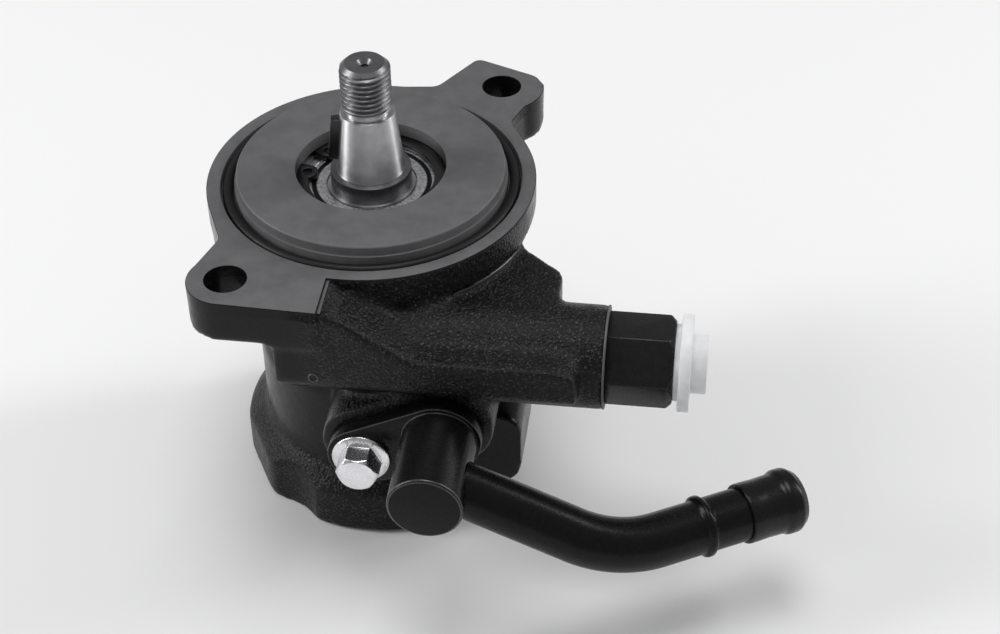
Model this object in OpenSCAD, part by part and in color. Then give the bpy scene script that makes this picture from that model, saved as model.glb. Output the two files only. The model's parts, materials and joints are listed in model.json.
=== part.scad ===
// Power steering pump: a balanced vane pump in a one-piece iron housing, with a tapered drive shaft,
// a flow control valve behind the pressure union and a bent suction tube.
// The origin is on the shaft axis in the flange's mounting face. +Z runs out along the shaft,
// +X along the pressure union, and the suction union points to -Y.

/* [Mounting flange] */
// Radius of the round flange
flange_r = 46; // [44:0.5:50]
// Thickness of the round flange
flange_t = 9.8; // [8:0.1:12]
// Thickness of the two bolting ears
ear_t = 13; // [12:0.1:15]
// Distance between the two mounting holes
hole_spacing = 115.4; // [112:0.1:120]
// Angle of the line through the mounting holes
hole_angle = 58.25; // [56:0.25:60]
// Radius of each mounting hole
hole_r = 5.65; // [4:0.05:6.5]
// Rim of metal left round a mounting hole on the front ear
ear_rim = 4.85; // [4:0.05:6]
// Extra rim on the rounded side of the rear ear
rear_ear_extra = 2; // [0:0.1:3]
// Radius of the pilot disc that locates the pump
pilot_r = 37.5; // [36:0.1:38]
// Height of the pilot disc above the mounting face
pilot_h = 4.2; // [3:0.1:6]
// Height of the wider ledge at the foot of the pilot disc
ledge_h = 1.4; // [0.8:0.1:2]
// How far that ledge stands out from the pilot disc
ledge_w = 0.6; // [0.2:0.1:1]
// Width of the sealing groove in the mounting face
groove_w = 4; // [3.6:0.1:4.5]
// Depth of that groove
groove_d = 2.8; // [2.5:0.1:3.5]
// Section radius of the sealing ring in that groove
pilot_ring_r = 1.5; // [1.2:0.05:1.7]

/* [Drive shaft] */
// Nominal diameter of the threaded end
thread_d = 14; // [12:0.5:14]
// Length of the threaded end
thread_len = 15.3; // [12:0.1:20]
// Radius at the small end of the taper
taper_small_r = 7.5; // [7.2:0.1:8.5]
// Radius at the large end of the taper
taper_large_r = 9.6; // [9:0.1:10.5]
// Length of the taper
taper_len = 18.7; // [16:0.1:24]
// Radius of the collar that seats on the bearing
collar_r = 11.3; // [11:0.1:11.8]
// Height of the collar's top above the mounting face
collar_top = 3.8; // [2:0.1:6]
// Length of the half-round key
key_len = 13; // [10:0.5:14]
// Width of the key
key_w = 3; // [2.5:0.1:4]
// How far the key stands out of the taper
key_proud = 2.4; // [1.5:0.1:3]
// Direction in which the key points
key_angle = 192; // [0:1:359]
// Radius of the splined end that drives the rotor
spline_r = 7; // [6.5:0.1:7.5]

/* [Front bearing] */
// Bore of the ball bearing
bearing_bore = 20; // [19:0.5:20]
// Outer diameter of the ball bearing
bearing_od = 42; // [42:0.5:44]
// Width of the ball bearing
bearing_w = 12; // [11:0.5:14]
// Depth of the bearing's front face below the mounting face
bearing_drop = 1.5; // [1:0.1:3]
// Number of balls
ball_count = 9; // [7:1:9]
// Ball diameter
ball_d = 6.35; // [6:0.05:6.5]
// Thickness of the snap ring over the bearing
front_ring_t = 1.75; // [1.2:0.05:2]
// Width of that snap ring
front_ring_w = 4.7; // [4:0.1:5]
// Radius of the oil seal
seal_r = 16.5; // [15.5:0.1:17]
// Width of the oil seal
seal_w = 7; // [6:0.5:8]
// Wall of the plain bush behind the seal
bush_wall = 1.7; // [1.5:0.1:2.5]

/* [Housing body] */
// Height of the housing below the mounting face
body_h = 99; // [98:0.5:106]
// Radius of the body
body_r = 35.5; // [35:0.1:37]
// Radius of the slightly slimmer neck above it
neck_r = 34.4; // [34:0.1:34.8]
// Depth of the neck's lower end below the mounting face
neck_depth = 50; // [48:0.5:52]
// Radius of the wide rear rim
rim_r = 41.8; // [41:0.1:43]
// Height of the rear rim's straight wall
rim_h = 14.5; // [12:0.5:15]
// Height of the sloping shoulder above the rim
shoulder_h = 5.6; // [4:0.1:7]
// Radius of the wrench clearance cut into the rim under each mounting hole
wrench_r = 18.6; // [17:0.1:19]
// Distance of the rim's two flats from the shaft axis
rim_flat = 40.6; // [40.2:0.1:41.5]
// Direction of the rim's flats
rim_flat_angle = 28.5; // [20:0.5:34]

/* [Pump cartridge] */
// Height of the cartridge chamber's roof above the rear rim's end
chamber_h = 57; // [56:0.5:58]
// Radius of the cartridge chamber
chamber_r = 27.5; // [27:0.1:28]
// Thickness of the front side plate
front_plate_t = 5; // [4.5:0.1:6]
// Width of the cam ring
cam_w = 18; // [16:0.5:18]
// Thickest wall of the cam ring
cam_wall = 8.7; // [8.5:0.1:9]
// How far the cam ring's two lobes rise
cam_lift = 2; // [1.5:0.1:2.2]
// Thickness of the rear side plate
rear_plate_t = 6; // [5:0.1:6.5]
// Room for the wave spring behind the rear side plate
wave_room = 2; // [1.8:0.1:2.4]
// Number of vanes
vane_count = 10; // [10:1:10]
// Vane thickness
vane_t = 1.6; // [1.2:0.1:1.8]
// Wall of the rotor between the shaft and the foot of a vane's slot
rotor_wall = 1.6; // [1.5:0.1:2.5]
// How far each vane can sink into its slot
vane_travel = 2; // [1:0.1:2]
// Radius of each dowel pin
dowel_r = 1.9; // [1.5:0.1:2]
// Distance of the dowel pins from the chamber's wall
dowel_inset = 4.4; // [4.2:0.1:5]
// Radius of the rear cover's bore
cover_r = 32; // [31.5:0.1:32.5]
// Thickness of the rear cover's flange
cover_t = 11; // [9:0.5:12]
// Length of the rear cover's spigot
cover_spigot = 7; // [6:0.5:8]
// Thickness of the snap ring that holds the rear cover
cover_ring_t = 2; // [1.6:0.1:2.5]

/* [Valve housing] */
// Distance of the valve bore from the shaft axis
valve_y = 39.8; // [39:0.1:42]
// Depth of the valve bore below the mounting face
valve_z = 25.5; // [25:0.1:27]
// Radius of the valve housing's barrel
barrel_r = 14.1; // [13:0.1:15]
// Distance of the barrel's open end from the shaft axis
barrel_end = 70; // [68:0.1:80]
// Distance of the barrel's closed end on the other side
barrel_back = 17; // [16:0.1:20]
// Depth of the top edge of the bar in front of the barrel
bar_top = 16; // [14:0.1:18]
// Depth of the lower edge of that bar's front wall
bar_bottom = 26; // [23:0.1:27]
// Slope of the band from the front ear down to the bar
slope_angle = 33; // [28:0.5:40]
// Distance of the bar's rounded end from the shaft axis
bar_end = 63.5; // [60:0.1:66]
// Radius of the valve bore
valve_r = 8.5; // [8:0.1:8.8]
// Length of the flow control valve
spool_len = 31; // [28:0.5:34]
// Wire radius of the valve's spring
spring_wire_r = 0.7; // [0.5:0.05:0.8]
// Mean radius of the valve's spring
spring_r = 4.4; // [4:0.1:4.6]
// Turns of the valve's spring
spring_turns = 9; // [6:1:11]

/* [Pressure union] */
// Width across the flats of the union's hexagon
union_af = 22; // [21:0.5:24]
// Length of the hexagon
union_hex_len = 18; // [12:0.1:20]
// Radius of the union's threaded shank
union_shank_r = 9.6; // [9.3:0.1:10]
// Length of the shank inside the barrel
union_shank_len = 17; // [14:0.5:20]
// Radius of the union's hose bore
union_bore_r = 8; // [7.5:0.1:8.5]
// Radius of the shipping plug's disc
plug_r = 13.2; // [12.5:0.1:14]
// Thickness of the plug's disc
plug_t = 3.1; // [2:0.1:4]
// How far the plug's hub stands out of its disc
plug_hub_len = 4.3; // [3:0.1:6]

/* [Suction side] */
// Distance of the suction union from the shaft axis, along X
suction_x = 26.7; // [26:0.1:28]
// Depth of the suction union below the valve bore
suction_drop = 17; // [16.5:0.1:18]
// How far the casting's pad for the suction union stands out from the body
pad_proud = 19.1; // [18.5:0.1:20]
// Thickness of the union's bolting tab
tab_t = 5; // [4:0.1:6]
// Radius of the union's round body
suction_body_r = 10.2; // [10:0.1:11]
// Length of the union, from the pad to its closed end
suction_len = 31; // [30:0.1:33]
// Distance of the bolt from the union, along X
bolt_dx = 21.8; // [21:0.1:23]
// Depth of the bolt below the union
bolt_dz = 8.3; // [7:0.1:9]
// Radius of the bolt's thread
bolt_r = 4; // [3:0.1:4]
// Radius of the bolt's washer face
bolt_flange_r = 8; // [7.5:0.1:8.5]
// Width across the flats of the bolt's head
bolt_af = 10.5; // [10:0.5:12]
// Length of the bolt's head, washer face included
bolt_head_len = 7.5; // [6:0.1:9]
// Outer radius of the suction tube
tube_r = 7.5; // [7:0.1:8]
// Wall of the suction tube
tube_wall = 1.2; // [0.8:0.1:2]
// Distance of the tube's axis from the pad where it leaves the union
tube_out = 18.4; // [17.5:0.1:19]
// Angle at which the tube's first leg falls away from +X
tube_dip = 22.7; // [18:0.1:27]
// Angle of the first leg about Z
tube_yaw = -2.8; // [-6:0.1:2]
// Angle by which the tube turns at its corner
tube_turn = 38.8; // [34:0.1:44]
// Direction of that turn, about the first leg
tube_roll = 26; // [20:0.5:32]
// Length from the union's axis to the tube's corner
tube_first = 53.7; // [50:0.1:57]
// Length from the corner to the tube's open end
tube_second = 53.9; // [50:0.1:60]
// Radius of the bend, at the tube's axis
tube_bend_r = 36; // [30:0.5:38]
// Distance of the stop bead from the corner
bead_at = 25.8; // [24:0.1:28]
// How far the stop bead stands out
bead_h = 1.1; // [0.6:0.1:1.6]
// Length of the protective cap on the tube
cap_len = 17.5; // [14:0.1:22]
// Wall of the protective cap
cap_wall = 0.9; // [0.6:0.1:1.2]
// How far the cap's end bulges out
cap_bulge = 0.75; // [0.3:0.05:1]

/* [Hidden] */
$fn = 64;

// Finishes
cast_black = [0.13, 0.13, 0.14];
machined_grey = [0.42, 0.42, 0.44];
bright_steel = [0.72, 0.73, 0.75];
dark_steel = [0.25, 0.25, 0.27];
zinc = [0.82, 0.83, 0.84];
rubber_black = [0.07, 0.07, 0.07];
plug_white = [0.92, 0.93, 0.93];
bronze = [0.62, 0.47, 0.28];
sintered = [0.5, 0.5, 0.52];

// General clearances, and how far one casting form laps into the next
overcut = 1;
play = 0.05;
seat_gap = 0.1;
lap = 0.6;
core_lap = 2;

// Places of the mounting holes and outlines of the ears
hole_pcd_r = hole_spacing / 2;
front_hole = hole_pcd_r * [cos(hole_angle + 180), sin(hole_angle + 180)];
rear_hole = hole_pcd_r * [cos(hole_angle), sin(hole_angle)];
front_ear_r = hole_r + ear_rim;
rear_ear_r = front_ear_r + rear_ear_extra;
ear_front = -front_hole.y + front_ear_r;
ear_flare = 1;
slope_start = -4;
front_root_angle = 205;
front_notch = [5.7, -12.9, 3];
rear_root_angle = 30;
rear_far_root_angle = 88;
rear_notch = [-4.4, 8.2, 3];
rear_round_from = -50;
rear_round_to = 10;
rear_corners = [[9.4, 6.6, 5], [-9, 14.2, 2.5], [-19, -2, 4]];
pilot_chamfer = 0.4;

// Depths along the shaft
chamber_top = body_h - chamber_h;
bearing_r = bearing_od / 2;
bearing_top = -bearing_drop;
bearing_bottom = bearing_top - bearing_w;
journal_r = bearing_bore / 2;
thread_r = thread_d / 2;
taper_top = collar_top + taper_len;
shaft_top = taper_top + thread_len;
seal_drop = 2.5;
seal_top = bearing_bottom - seal_drop;
seal_bottom = seal_top - seal_w;
front_plate_top = -chamber_top;
cam_top = front_plate_top - front_plate_t;
cam_bottom = cam_top - cam_w;
rear_plate_bottom = cam_bottom - rear_plate_t;
cover_top = rear_plate_bottom - wave_room;
cover_step = cover_top - cover_spigot;
cover_bottom = cover_step - cover_t;
shaft_bottom = rear_plate_bottom + 2;
bush_top = seal_bottom - 1;
bush_bottom = front_plate_top + 0.5;
bush_r = journal_r + bush_wall;

// Bearing details
ball_r = ball_d / 2;
ball_pitch_r = (journal_r + bearing_r) / 2;
race_play = 0.05;
inner_race_r = ball_pitch_r - ball_r + 0.6;
outer_race_r = ball_pitch_r + ball_r - 0.9;
shield_t = 0.5;
shield_sink = 0.2;
shield_seat = 0.5;
shield_room = shield_sink + shield_t;
shield_inner_r = inner_race_r - 0.2;
shield_outer_r = outer_race_r + 0.4;
cage_half_w = 0.9;
cage_h = 8;
pocket_play = 0.12;

// Snap rings in the housing
ring_groove = 1.4;
front_ring_turn = 160;
front_ring_gap = 9;
cover_ring_groove = 2;
cover_ring_w = 5.4;
cover_ring_turn = 100;
cover_ring_gap = 6;

// Half-round key, whose disc lies in the plane of the shaft axis along the slope of the taper
key_r = key_len / 2;
key_mid_z = collar_top + taper_len / 2 + 1;
key_mid_r = taper_large_r + (taper_small_r - taper_large_r) * (key_mid_z - collar_top) / taper_len;
key_lean = atan((taper_large_r - taper_small_r) / taper_len);

// Round sealing rings of the chamber and their grooves
chamber_ring_r = 0.95;
chamber_groove_w = 2.2;
chamber_groove_d = 2;

// Snap rings on the shaft
clip_t = 1.4;
clip_w = 2.6;
clip_groove = 0.9;

// Rotor, vanes and dowel pins
cam_minor_r = chamber_r - cam_wall;
dowel_pcd_r = chamber_r - dowel_inset;
rotor_gap = 0.3;
rotor_r = cam_minor_r - rotor_gap;
side_play = 0.05;
slot_root_r = spline_r + rotor_wall;
vane_inner_r = slot_root_r + vane_travel + seat_gap;
vane_tip_r = cam_minor_r - seat_gap;
vane_len = vane_tip_r - vane_inner_r;
vane_step = 360 / vane_count;
first_vane = vane_step / 2;

// Valve bore
valve_axis = [0, -valve_y, -valve_z];
valve_wall = 5;
valve_back = -barrel_back + valve_wall;
shank_end = barrel_end - union_shank_len;
spool_front = shank_end - 0.3;
spool_back = spool_front - spool_len;
spring_pocket = 12;
ring_recess_r = union_shank_r + 2;
ring_recess_d = 2;
union_ring_r = 0.9;

// Pressure union and plug
hex_turn = -6;
union_end = barrel_end + union_hex_len;
plug_gap = 1.5;
plug_back = union_end + plug_gap;
plug_front = plug_back + plug_t;
plug_stem_r = union_bore_r - seat_gap;
plug_stem_len = 9;
plug_hub_r = 8;
plug_neck_r = union_bore_r + 2.4;

// Suction side
suction_z = valve_z + suction_drop;
pad_y = body_r + pad_proud;
suction_end = pad_y + suction_len;
tube_y = pad_y + tube_out;
suction_axis = [suction_x, 0, -suction_z];
bolt_place = [suction_x - bolt_dx, 0, -suction_z - bolt_dz];
spigot_r = 9;
spigot_len = 6;
spigot_room = 0.5;
suction_passage_r = 6;
inlet_drop = 16;
suction_ring_r = 0.85;
suction_ring_y = pad_y - 3;
suction_groove_w = 2;
suction_groove_d = 1.75;
tab_rim = 1.2;
boss_rim = 2.6;
boss_root = 12;
bolt_tab_r = bolt_flange_r + 1.4;
bolt_depth = 6;
bolt_room = 1;
washer_t = 1.7;
tube_inner_r = tube_r - tube_wall;
bend_tangent = tube_bend_r * tan(tube_turn / 2);
bend_thin = 0.05;
cap_end_t = 1.6;
cap_cover = cap_len - cap_end_t;

// Casting details
neck_step = 1.5;
rim_round = 0.9;
lump_right = 46;
lump_left = 4;
lump_rise = 46;
lump_foot = 19.5;
lump_proud = 1.5;
lump_y = body_r + lump_proud;
lump_top = body_h - lump_rise;
lump_bottom = body_h - lump_foot;
lump_root = 10;
lump_rounds = [8, 6, 8, 9];
web_corner = [56, -20.5];
web_root = [34, -2];
web_top = 12.5;
web_bottom = 38.5;
web_round = 3;
web_step = 1.4;
bar_under_y = 47;
bar_under_z = 36.5;
bar_rounds = [4, 6];
bar_end_rounds = [5, 4];
bar_end_drop = 28;
bar_end_under = 12;
lip_r = 36.2;
lip_top = 24.5;
lip_bottom = 35;
lip_lead = 2;
lip_inset = 10;
pocket_r = 30;
pocket_from = -8;
pocket_sweep = 84;
fin_angle = 118;
fin_w = 9;
fin_profile = [[-6, 54, 0], [7.6, 50, 3], [7, 43, 2], [1.2, 32, 0], [-1, 22, 0], [-6, 22, 0]];
foot_y = 24;
foot_z = 41;
foot_left = 34;
foot_inset = 0.5;
wrench_top = 35;

// Points of a polygon whose corners [x, y, radius] are rounded to arcs
function unit(v) = v / norm(v);
function corner_arc(a, b, c, steps = 8) =
    let(u = unit([a.x - b.x, a.y - b.y]), v = unit([c.x - b.x, c.y - b.y]))
    let(half = acos(max(-1, min(1, u * v))) / 2)
    let(mid = unit(u + v), centre = [b.x, b.y] + mid * b.z / sin(half))
    let(from = [b.x, b.y] + u * b.z / tan(half) - centre)
    let(way = sign(u.x * v.y - u.y * v.x), sweep = 180 - 2 * half)
    [for (i = [0:steps])
        let(t = -way * sweep * i / steps)
        centre + [from.x * cos(t) - from.y * sin(t), from.x * sin(t) + from.y * cos(t)]];
function rounded(corners) =
    let(n = len(corners))
    [for (i = [0:n - 1])
        each corners[i].z > 0
            ? corner_arc(corners[(i + n - 1) % n], corners[i], corners[(i + 1) % n])
            : [[corners[i].x, corners[i].y]]];

// A round bar along X or along -Y
module bar_x(from, to, r) {
    translate([from, 0, 0])
        rotate([0, 90, 0])
            cylinder(h = to - from, r = r);
}

module bar_y(from, to, r) {
    translate([0, -from, 0])
        rotate([90, 0, 0])
            cylinder(h = to - from, r = r);
}

module ring(top, height, outer, inner) {
    translate([0, 0, top - height])
        difference() {
            cylinder(h = height, r = outer);
            translate([0, 0, -overcut])
                cylinder(h = height + 2 * overcut, r = inner);
        }
}

module torus(mean_r, section_r) {
    rotate_extrude()
        translate([mean_r, 0])
            circle(r = section_r, $fn = 32);
}

// Outline of the front ear, beside the valve housing
module front_ear_outline() {
    root = flange_r * [cos(front_root_angle), sin(front_root_angle)];
    polygon(rounded([
        [0, 0, 0],
        [root.x, root.y, 0],
        [root.x + front_notch.x, root.y + front_notch.y, front_notch.z],
        [front_hole.x - front_ear_r, front_hole.y + ear_flare, 0],
        [front_hole.x, front_hole.y, 0],
        [front_hole.x, -ear_front, 0],
        [slope_start, -ear_front - ear_flare, 0],
        [slope_start, -flange_r + lap, 0]
    ]));
    translate(front_hole)
        circle(r = front_ear_r);
}

// Outline of the rear ear, over the body's plain side
module rear_ear_outline() {
    inner_root = flange_r * [cos(rear_root_angle), sin(rear_root_angle)];
    outer_root = flange_r * [cos(rear_far_root_angle), sin(rear_far_root_angle)];
    polygon(rounded([
        [0, 0, 0],
        [inner_root.x, inner_root.y, 0],
        [inner_root.x + rear_notch.x, inner_root.y + rear_notch.y, rear_notch.z],
        for (a = [rear_round_from, rear_round_to])
            [rear_hole.x + rear_ear_r * cos(a), rear_hole.y + rear_ear_r * sin(a), 0],
        for (c = rear_corners)
            [rear_hole.x + c.x, rear_hole.y + c.y, c.z],
        [outer_root.x, outer_root.y, 0]
    ]));
    intersection() {
        translate(rear_hole)
            circle(r = rear_ear_r);
        translate([rear_hole.x - rear_ear_r, rear_hole.y - 2 * rear_ear_r])
            square(2 * rear_ear_r + overcut);
    }
}

module flange_plate() {
    translate([0, 0, -flange_t])
        cylinder(h = flange_t, r = flange_r);
    translate([0, 0, -ear_t])
        linear_extrude(ear_t) {
            difference() {
                front_ear_outline();
                circle(r = neck_r - core_lap);
            }
            difference() {
                rear_ear_outline();
                circle(r = neck_r - core_lap);
            }
        }
    cylinder(h = ledge_h, r = pilot_r + ledge_w);
    cylinder(h = pilot_h - pilot_chamfer, r = pilot_r);
    translate([0, 0, pilot_h - pilot_chamfer])
        cylinder(h = pilot_chamfer, r1 = pilot_r, r2 = pilot_r - pilot_chamfer);
}

// Neck, body, sloping shoulder and rear rim in one turned profile
module body_core() {
    rim_top = -body_h + rim_h;
    rotate_extrude()
        polygon([
            [0, -flange_t / 2],
            [neck_r, -flange_t / 2],
            [neck_r, -neck_depth],
            [body_r, -neck_depth - neck_step],
            [body_r, rim_top + shoulder_h],
            [rim_r - rim_round, rim_top + rim_round],
            [rim_r, rim_top],
            [rim_r, -body_h + rim_round],
            [rim_r - rim_round, -body_h],
            [0, -body_h]
        ]);
}

// Lip under the dark pocket between the flange and the web
module pocket_lip() {
    steps = 12;
    sweep = pocket_sweep - lip_inset;
    translate([0, 0, -lip_bottom])
        linear_extrude(lip_bottom - flange_t)
            polygon([
                [0, 0],
                each [for (i = [0:steps])
                    let(a = pocket_from - lip_lead + sweep * i / steps)
                    lip_r * [cos(a), sin(a)]]
            ]);
}

module pocket_cut() {
    translate([0, 0, -lip_top])
        rotate([0, 0, pocket_from])
            rotate_extrude(angle = pocket_sweep)
                translate([pocket_r, 0])
                    square([flange_r - pocket_r, lip_top - flange_t + lap]);
}

// Barrel of the valve housing with the foot beneath its open end
module valve_barrel() {
    translate(valve_axis)
        bar_x(-barrel_back, barrel_end, barrel_r);
    translate([foot_left, -valve_y, -foot_z])
        cube([barrel_end - foot_inset - foot_left, valve_y - foot_y, foot_z - valve_z]);
}

// Bar in front of the barrel: it carries the front ear, slopes down beside it and has a rounded end
module front_bar() {
    intersection() {
        translate([-barrel_back, 0, 0])
            rotate([90, 0, 90])
                linear_extrude(barrel_back + bar_end + overcut)
                    polygon(rounded([
                        [-neck_r + core_lap, -flange_t / 2, 0],
                        [-flange_r, -lap, 0],
                        [-ear_front, -lap, 0],
                        [-ear_front, -bar_bottom, bar_rounds[0]],
                        [-bar_under_y, -bar_under_z, bar_rounds[1]],
                        [-neck_r + core_lap, -bar_under_z, 0]
                    ]));
        rotate([90, 0, 0])
            linear_extrude(ear_front + overcut)
                polygon(rounded([
                    [-barrel_back - overcut, 0, 0],
                    [slope_start, 0, 0],
                    [slope_start + bar_top / tan(slope_angle), -bar_top, 0],
                    [bar_end, -bar_top, bar_end_rounds[0]],
                    [bar_end, -bar_end_drop, bar_end_rounds[1]],
                    [bar_end - bar_end_under, -bar_under_z - overcut, 0],
                    [-barrel_back - overcut, -bar_under_z - overcut, 0]
                ]));
    }
}

module web_outline() {
    polygon(rounded([
        [0, -valve_y, 0],
        [web_corner.x, -valve_y, 0],
        [web_corner.x, web_corner.y, web_round],
        [web_root.x, web_root.y, 0],
        [0, web_root.y, 0]
    ]));
}

// Webbed filling between the flange, the barrel and the diagonal outer wall
module web_filling() {
    translate([0, 0, -web_bottom])
        linear_extrude(web_bottom - web_top)
            web_outline();
    translate([0, 0, -web_top - lap])
        linear_extrude(web_top - flange_t + 2 * lap)
            intersection() {
                circle(r = flange_r - web_step);
                web_outline();
            }
}

// Casting lump on the body below the suction union
module body_lump() {
    translate([0, -lump_y, 0])
        rotate([-90, 0, 0])
            linear_extrude(lump_y - lump_root)
                polygon(rounded([
                    [lump_left, lump_top, lump_rounds[0]],
                    [lump_right, lump_top, lump_rounds[1]],
                    [lump_right, lump_bottom, lump_rounds[2]],
                    [lump_left, lump_bottom, lump_rounds[3]]
                ]));
}

// Boss that carries the suction union and its bolt
module suction_boss() {
    translate([0, -boss_root, 0])
        rotate([90, 0, 0])
            linear_extrude(pad_y - boss_root)
                tab_outline(boss_rim);
}

module side_fin() {
    rotate([0, 0, fin_angle])
        translate([0, fin_w / 2, 0])
            rotate([90, 0, 0])
                linear_extrude(fin_w)
                    polygon(rounded([for (p = fin_profile) [body_r + p.x, p.y - body_h, p.z]]));
}

module rim_cuts() {
    for (place = [front_hole, rear_hole])
        translate([place.x, place.y, -body_h - overcut])
            cylinder(h = body_h - wrench_top + overcut, r = wrench_r);
    for (side = [0, 180])
        rotate([0, 0, rim_flat_angle + side])
            translate([rim_flat, -rim_r, -body_h - overcut])
                cube([rim_r, 2 * rim_r, rim_h + shoulder_h + overcut]);
}

// Every machined bore of the housing
module housing_bores() {
    translate([0, 0, bearing_bottom])
        cylinder(h = pilot_h - bearing_bottom + overcut, r = bearing_r);
    translate([0, 0, bearing_top])
        cylinder(h = front_ring_t + play, r = bearing_r + ring_groove);
    translate([0, 0, seal_bottom])
        cylinder(h = bearing_bottom - seal_bottom + overcut, r = seal_r);
    translate([0, 0, -chamber_top - overcut])
        cylinder(h = chamber_top + seal_bottom + 2 * overcut, r = bush_r);
    translate([0, 0, -body_h - overcut])
        cylinder(h = body_h - chamber_top + overcut, r = chamber_r);
    translate([0, 0, -body_h - overcut])
        cylinder(h = body_h + cover_step + overcut, r = cover_r);
    translate([0, 0, cover_bottom - cover_ring_t - play])
        cylinder(h = cover_ring_t + 2 * play, r = cover_r + cover_ring_groove);
    translate([0, 0, -groove_d])
        difference() {
            cylinder(h = groove_d + overcut + ledge_h, r = pilot_r + ledge_w + groove_w);
            translate([0, 0, -overcut])
                cylinder(h = groove_d + pilot_h + 2 * overcut, r = pilot_r + ledge_w);
        }
    for (place = [front_hole, rear_hole])
        translate([place.x, place.y, -ear_t - overcut])
            cylinder(h = ear_t + 2 * overcut, r = hole_r);
    translate(valve_axis) {
        bar_x(valve_back, barrel_end, valve_r);
        bar_x(shank_end, barrel_end + overcut, union_shank_r + seat_gap);
        bar_x(barrel_end - ring_recess_d, barrel_end + overcut, ring_recess_r);
    }
    discharge_passage();
    suction_passage();
    translate(suction_axis)
        bar_y(pad_y - spigot_len - spigot_room, pad_y + overcut, spigot_r + play);
    translate(bolt_place)
        bar_y(pad_y - bolt_depth - bolt_room, pad_y + overcut, bolt_r + play);
}

// Passage from the chamber's roof to the front end of the valve bore
module discharge_passage() {
    rise_r = 2.6;
    cross_r = 2.2;
    foot_angle = -40;
    foot_rim = 0.5;
    foot = (chamber_r - rise_r - foot_rim) * [cos(foot_angle), sin(foot_angle)];
    outlet = [(shank_end + spool_front) / 2 - rise_r, -valve_y + valve_r / 2];
    run = outlet - foot;
    translate([foot.x, foot.y, -chamber_top - overcut])
        cylinder(h = chamber_top - valve_z + cross_r + 2 * overcut, r = rise_r);
    translate([foot.x, foot.y, -valve_z])
        rotate([0, 0, atan2(run.y, run.x)])
            bar_x(-overcut, norm(run), cross_r);
}

// Slanting passage from the suction union's seat into the cartridge chamber
module suction_passage() {
    seat = [suction_x, -pad_y + spigot_len / 2, -suction_z];
    goal = [chamber_r / 2, -chamber_r / 2, -chamber_top - inlet_drop];
    run = goal - seat;
    translate(seat)
        rotate([0, acos(run.z / norm(run)), atan2(run.y, run.x)])
            cylinder(h = norm(run), r = suction_passage_r);
}

module front_housing() {
    color(cast_black)
        difference() {
            union() {
                flange_plate();
                difference() {
                    union() {
                        body_core();
                        web_filling();
                        pocket_lip();
                    }
                    pocket_cut();
                }
                valve_barrel();
                front_bar();
                body_lump();
                suction_boss();
                side_fin();
            }
            rim_cuts();
            housing_bores();
        }
}

// Groove for a round sealing ring in a disc that fits the chamber
module chamber_groove(mid_z) {
    ring(mid_z + chamber_groove_w / 2, chamber_groove_w, chamber_r + overcut, chamber_r - chamber_groove_d);
}

// Disc that closes the cartridge chamber from below
module rear_cover() {
    dish_r = cover_r - 11;
    color(sintered)
        difference() {
            union() {
                translate([0, 0, cover_step])
                    cylinder(h = cover_spigot, r = chamber_r - seat_gap);
                translate([0, 0, cover_bottom])
                    cylinder(h = cover_t, r = cover_r - seat_gap);
            }
            chamber_groove(cover_top - cover_spigot / 2);
            translate([0, 0, cover_bottom - overcut])
                cylinder(h = cover_t / 2 + overcut, r = dish_r);
        }
}

module cover_o_ring() {
    color(rubber_black)
        translate([0, 0, cover_top - cover_spigot / 2])
            torus(chamber_r - seat_gap - chamber_ring_r, chamber_ring_r);
}

// Open ring with two drilled lugs beside its gap, as used in a bore
module bore_clip(outer, width, thick, gap_angle) {
    lug_r = width * 0.62;
    lug_at = outer - width * 0.85;
    lug_turn = gap_angle + asin(lug_r / lug_at);
    eye_r = lug_r * 0.45;
    difference() {
        union() {
            ring(thick, thick, outer, outer - width);
            for (turn = [-lug_turn, lug_turn])
                rotate([0, 0, turn])
                    translate([lug_at, 0, 0])
                        cylinder(h = thick, r = lug_r);
        }
        translate([0, 0, -overcut])
            linear_extrude(thick + 2 * overcut)
                polygon([
                    [0, 0],
                    2 * outer * [cos(gap_angle), -sin(gap_angle)],
                    2 * outer * [cos(gap_angle), sin(gap_angle)]
                ]);
        for (turn = [-lug_turn, lug_turn])
            rotate([0, 0, turn])
                translate([lug_at, 0, -overcut])
                    cylinder(h = thick + 2 * overcut, r = eye_r);
    }
}

module cover_snap_ring() {
    color(dark_steel)
        translate([0, 0, cover_bottom - cover_ring_t])
            rotate([0, 0, cover_ring_turn])
                bore_clip(cover_r + cover_ring_groove - seat_gap, cover_ring_w, cover_ring_t,
                    cover_ring_gap);
}

module pilot_o_ring() {
    color(rubber_black)
        translate([0, 0, -groove_d + pilot_ring_r])
            torus(pilot_r + ledge_w + groove_w / 2, pilot_ring_r);
}

module bearing_outer_ring() {
    color(bright_steel)
        difference() {
            ring(bearing_top, bearing_w, bearing_r - play / 2, outer_race_r);
            translate([0, 0, bearing_top - bearing_w / 2])
                torus(ball_pitch_r, ball_r + race_play);
            ring(bearing_top + overcut, shield_room + overcut, shield_outer_r, ball_pitch_r);
            ring(bearing_bottom + shield_room, shield_room + overcut, shield_outer_r, ball_pitch_r);
        }
}

module bearing_shields() {
    color(bright_steel) {
        ring(bearing_top - shield_sink, shield_t, shield_outer_r, shield_inner_r);
        ring(bearing_bottom + shield_room, shield_t, shield_outer_r, shield_inner_r);
    }
}

module bearing_inner_ring() {
    step_h = shield_room + 0.3;
    color(bright_steel)
        difference() {
            ring(bearing_top, bearing_w, inner_race_r, journal_r);
            translate([0, 0, bearing_top - bearing_w / 2])
                torus(ball_pitch_r, ball_r + race_play);
            ring(bearing_top + overcut, step_h + overcut, bearing_r, shield_inner_r - shield_seat);
            ring(bearing_bottom + step_h, step_h + overcut, bearing_r, shield_inner_r - shield_seat);
        }
}

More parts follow.
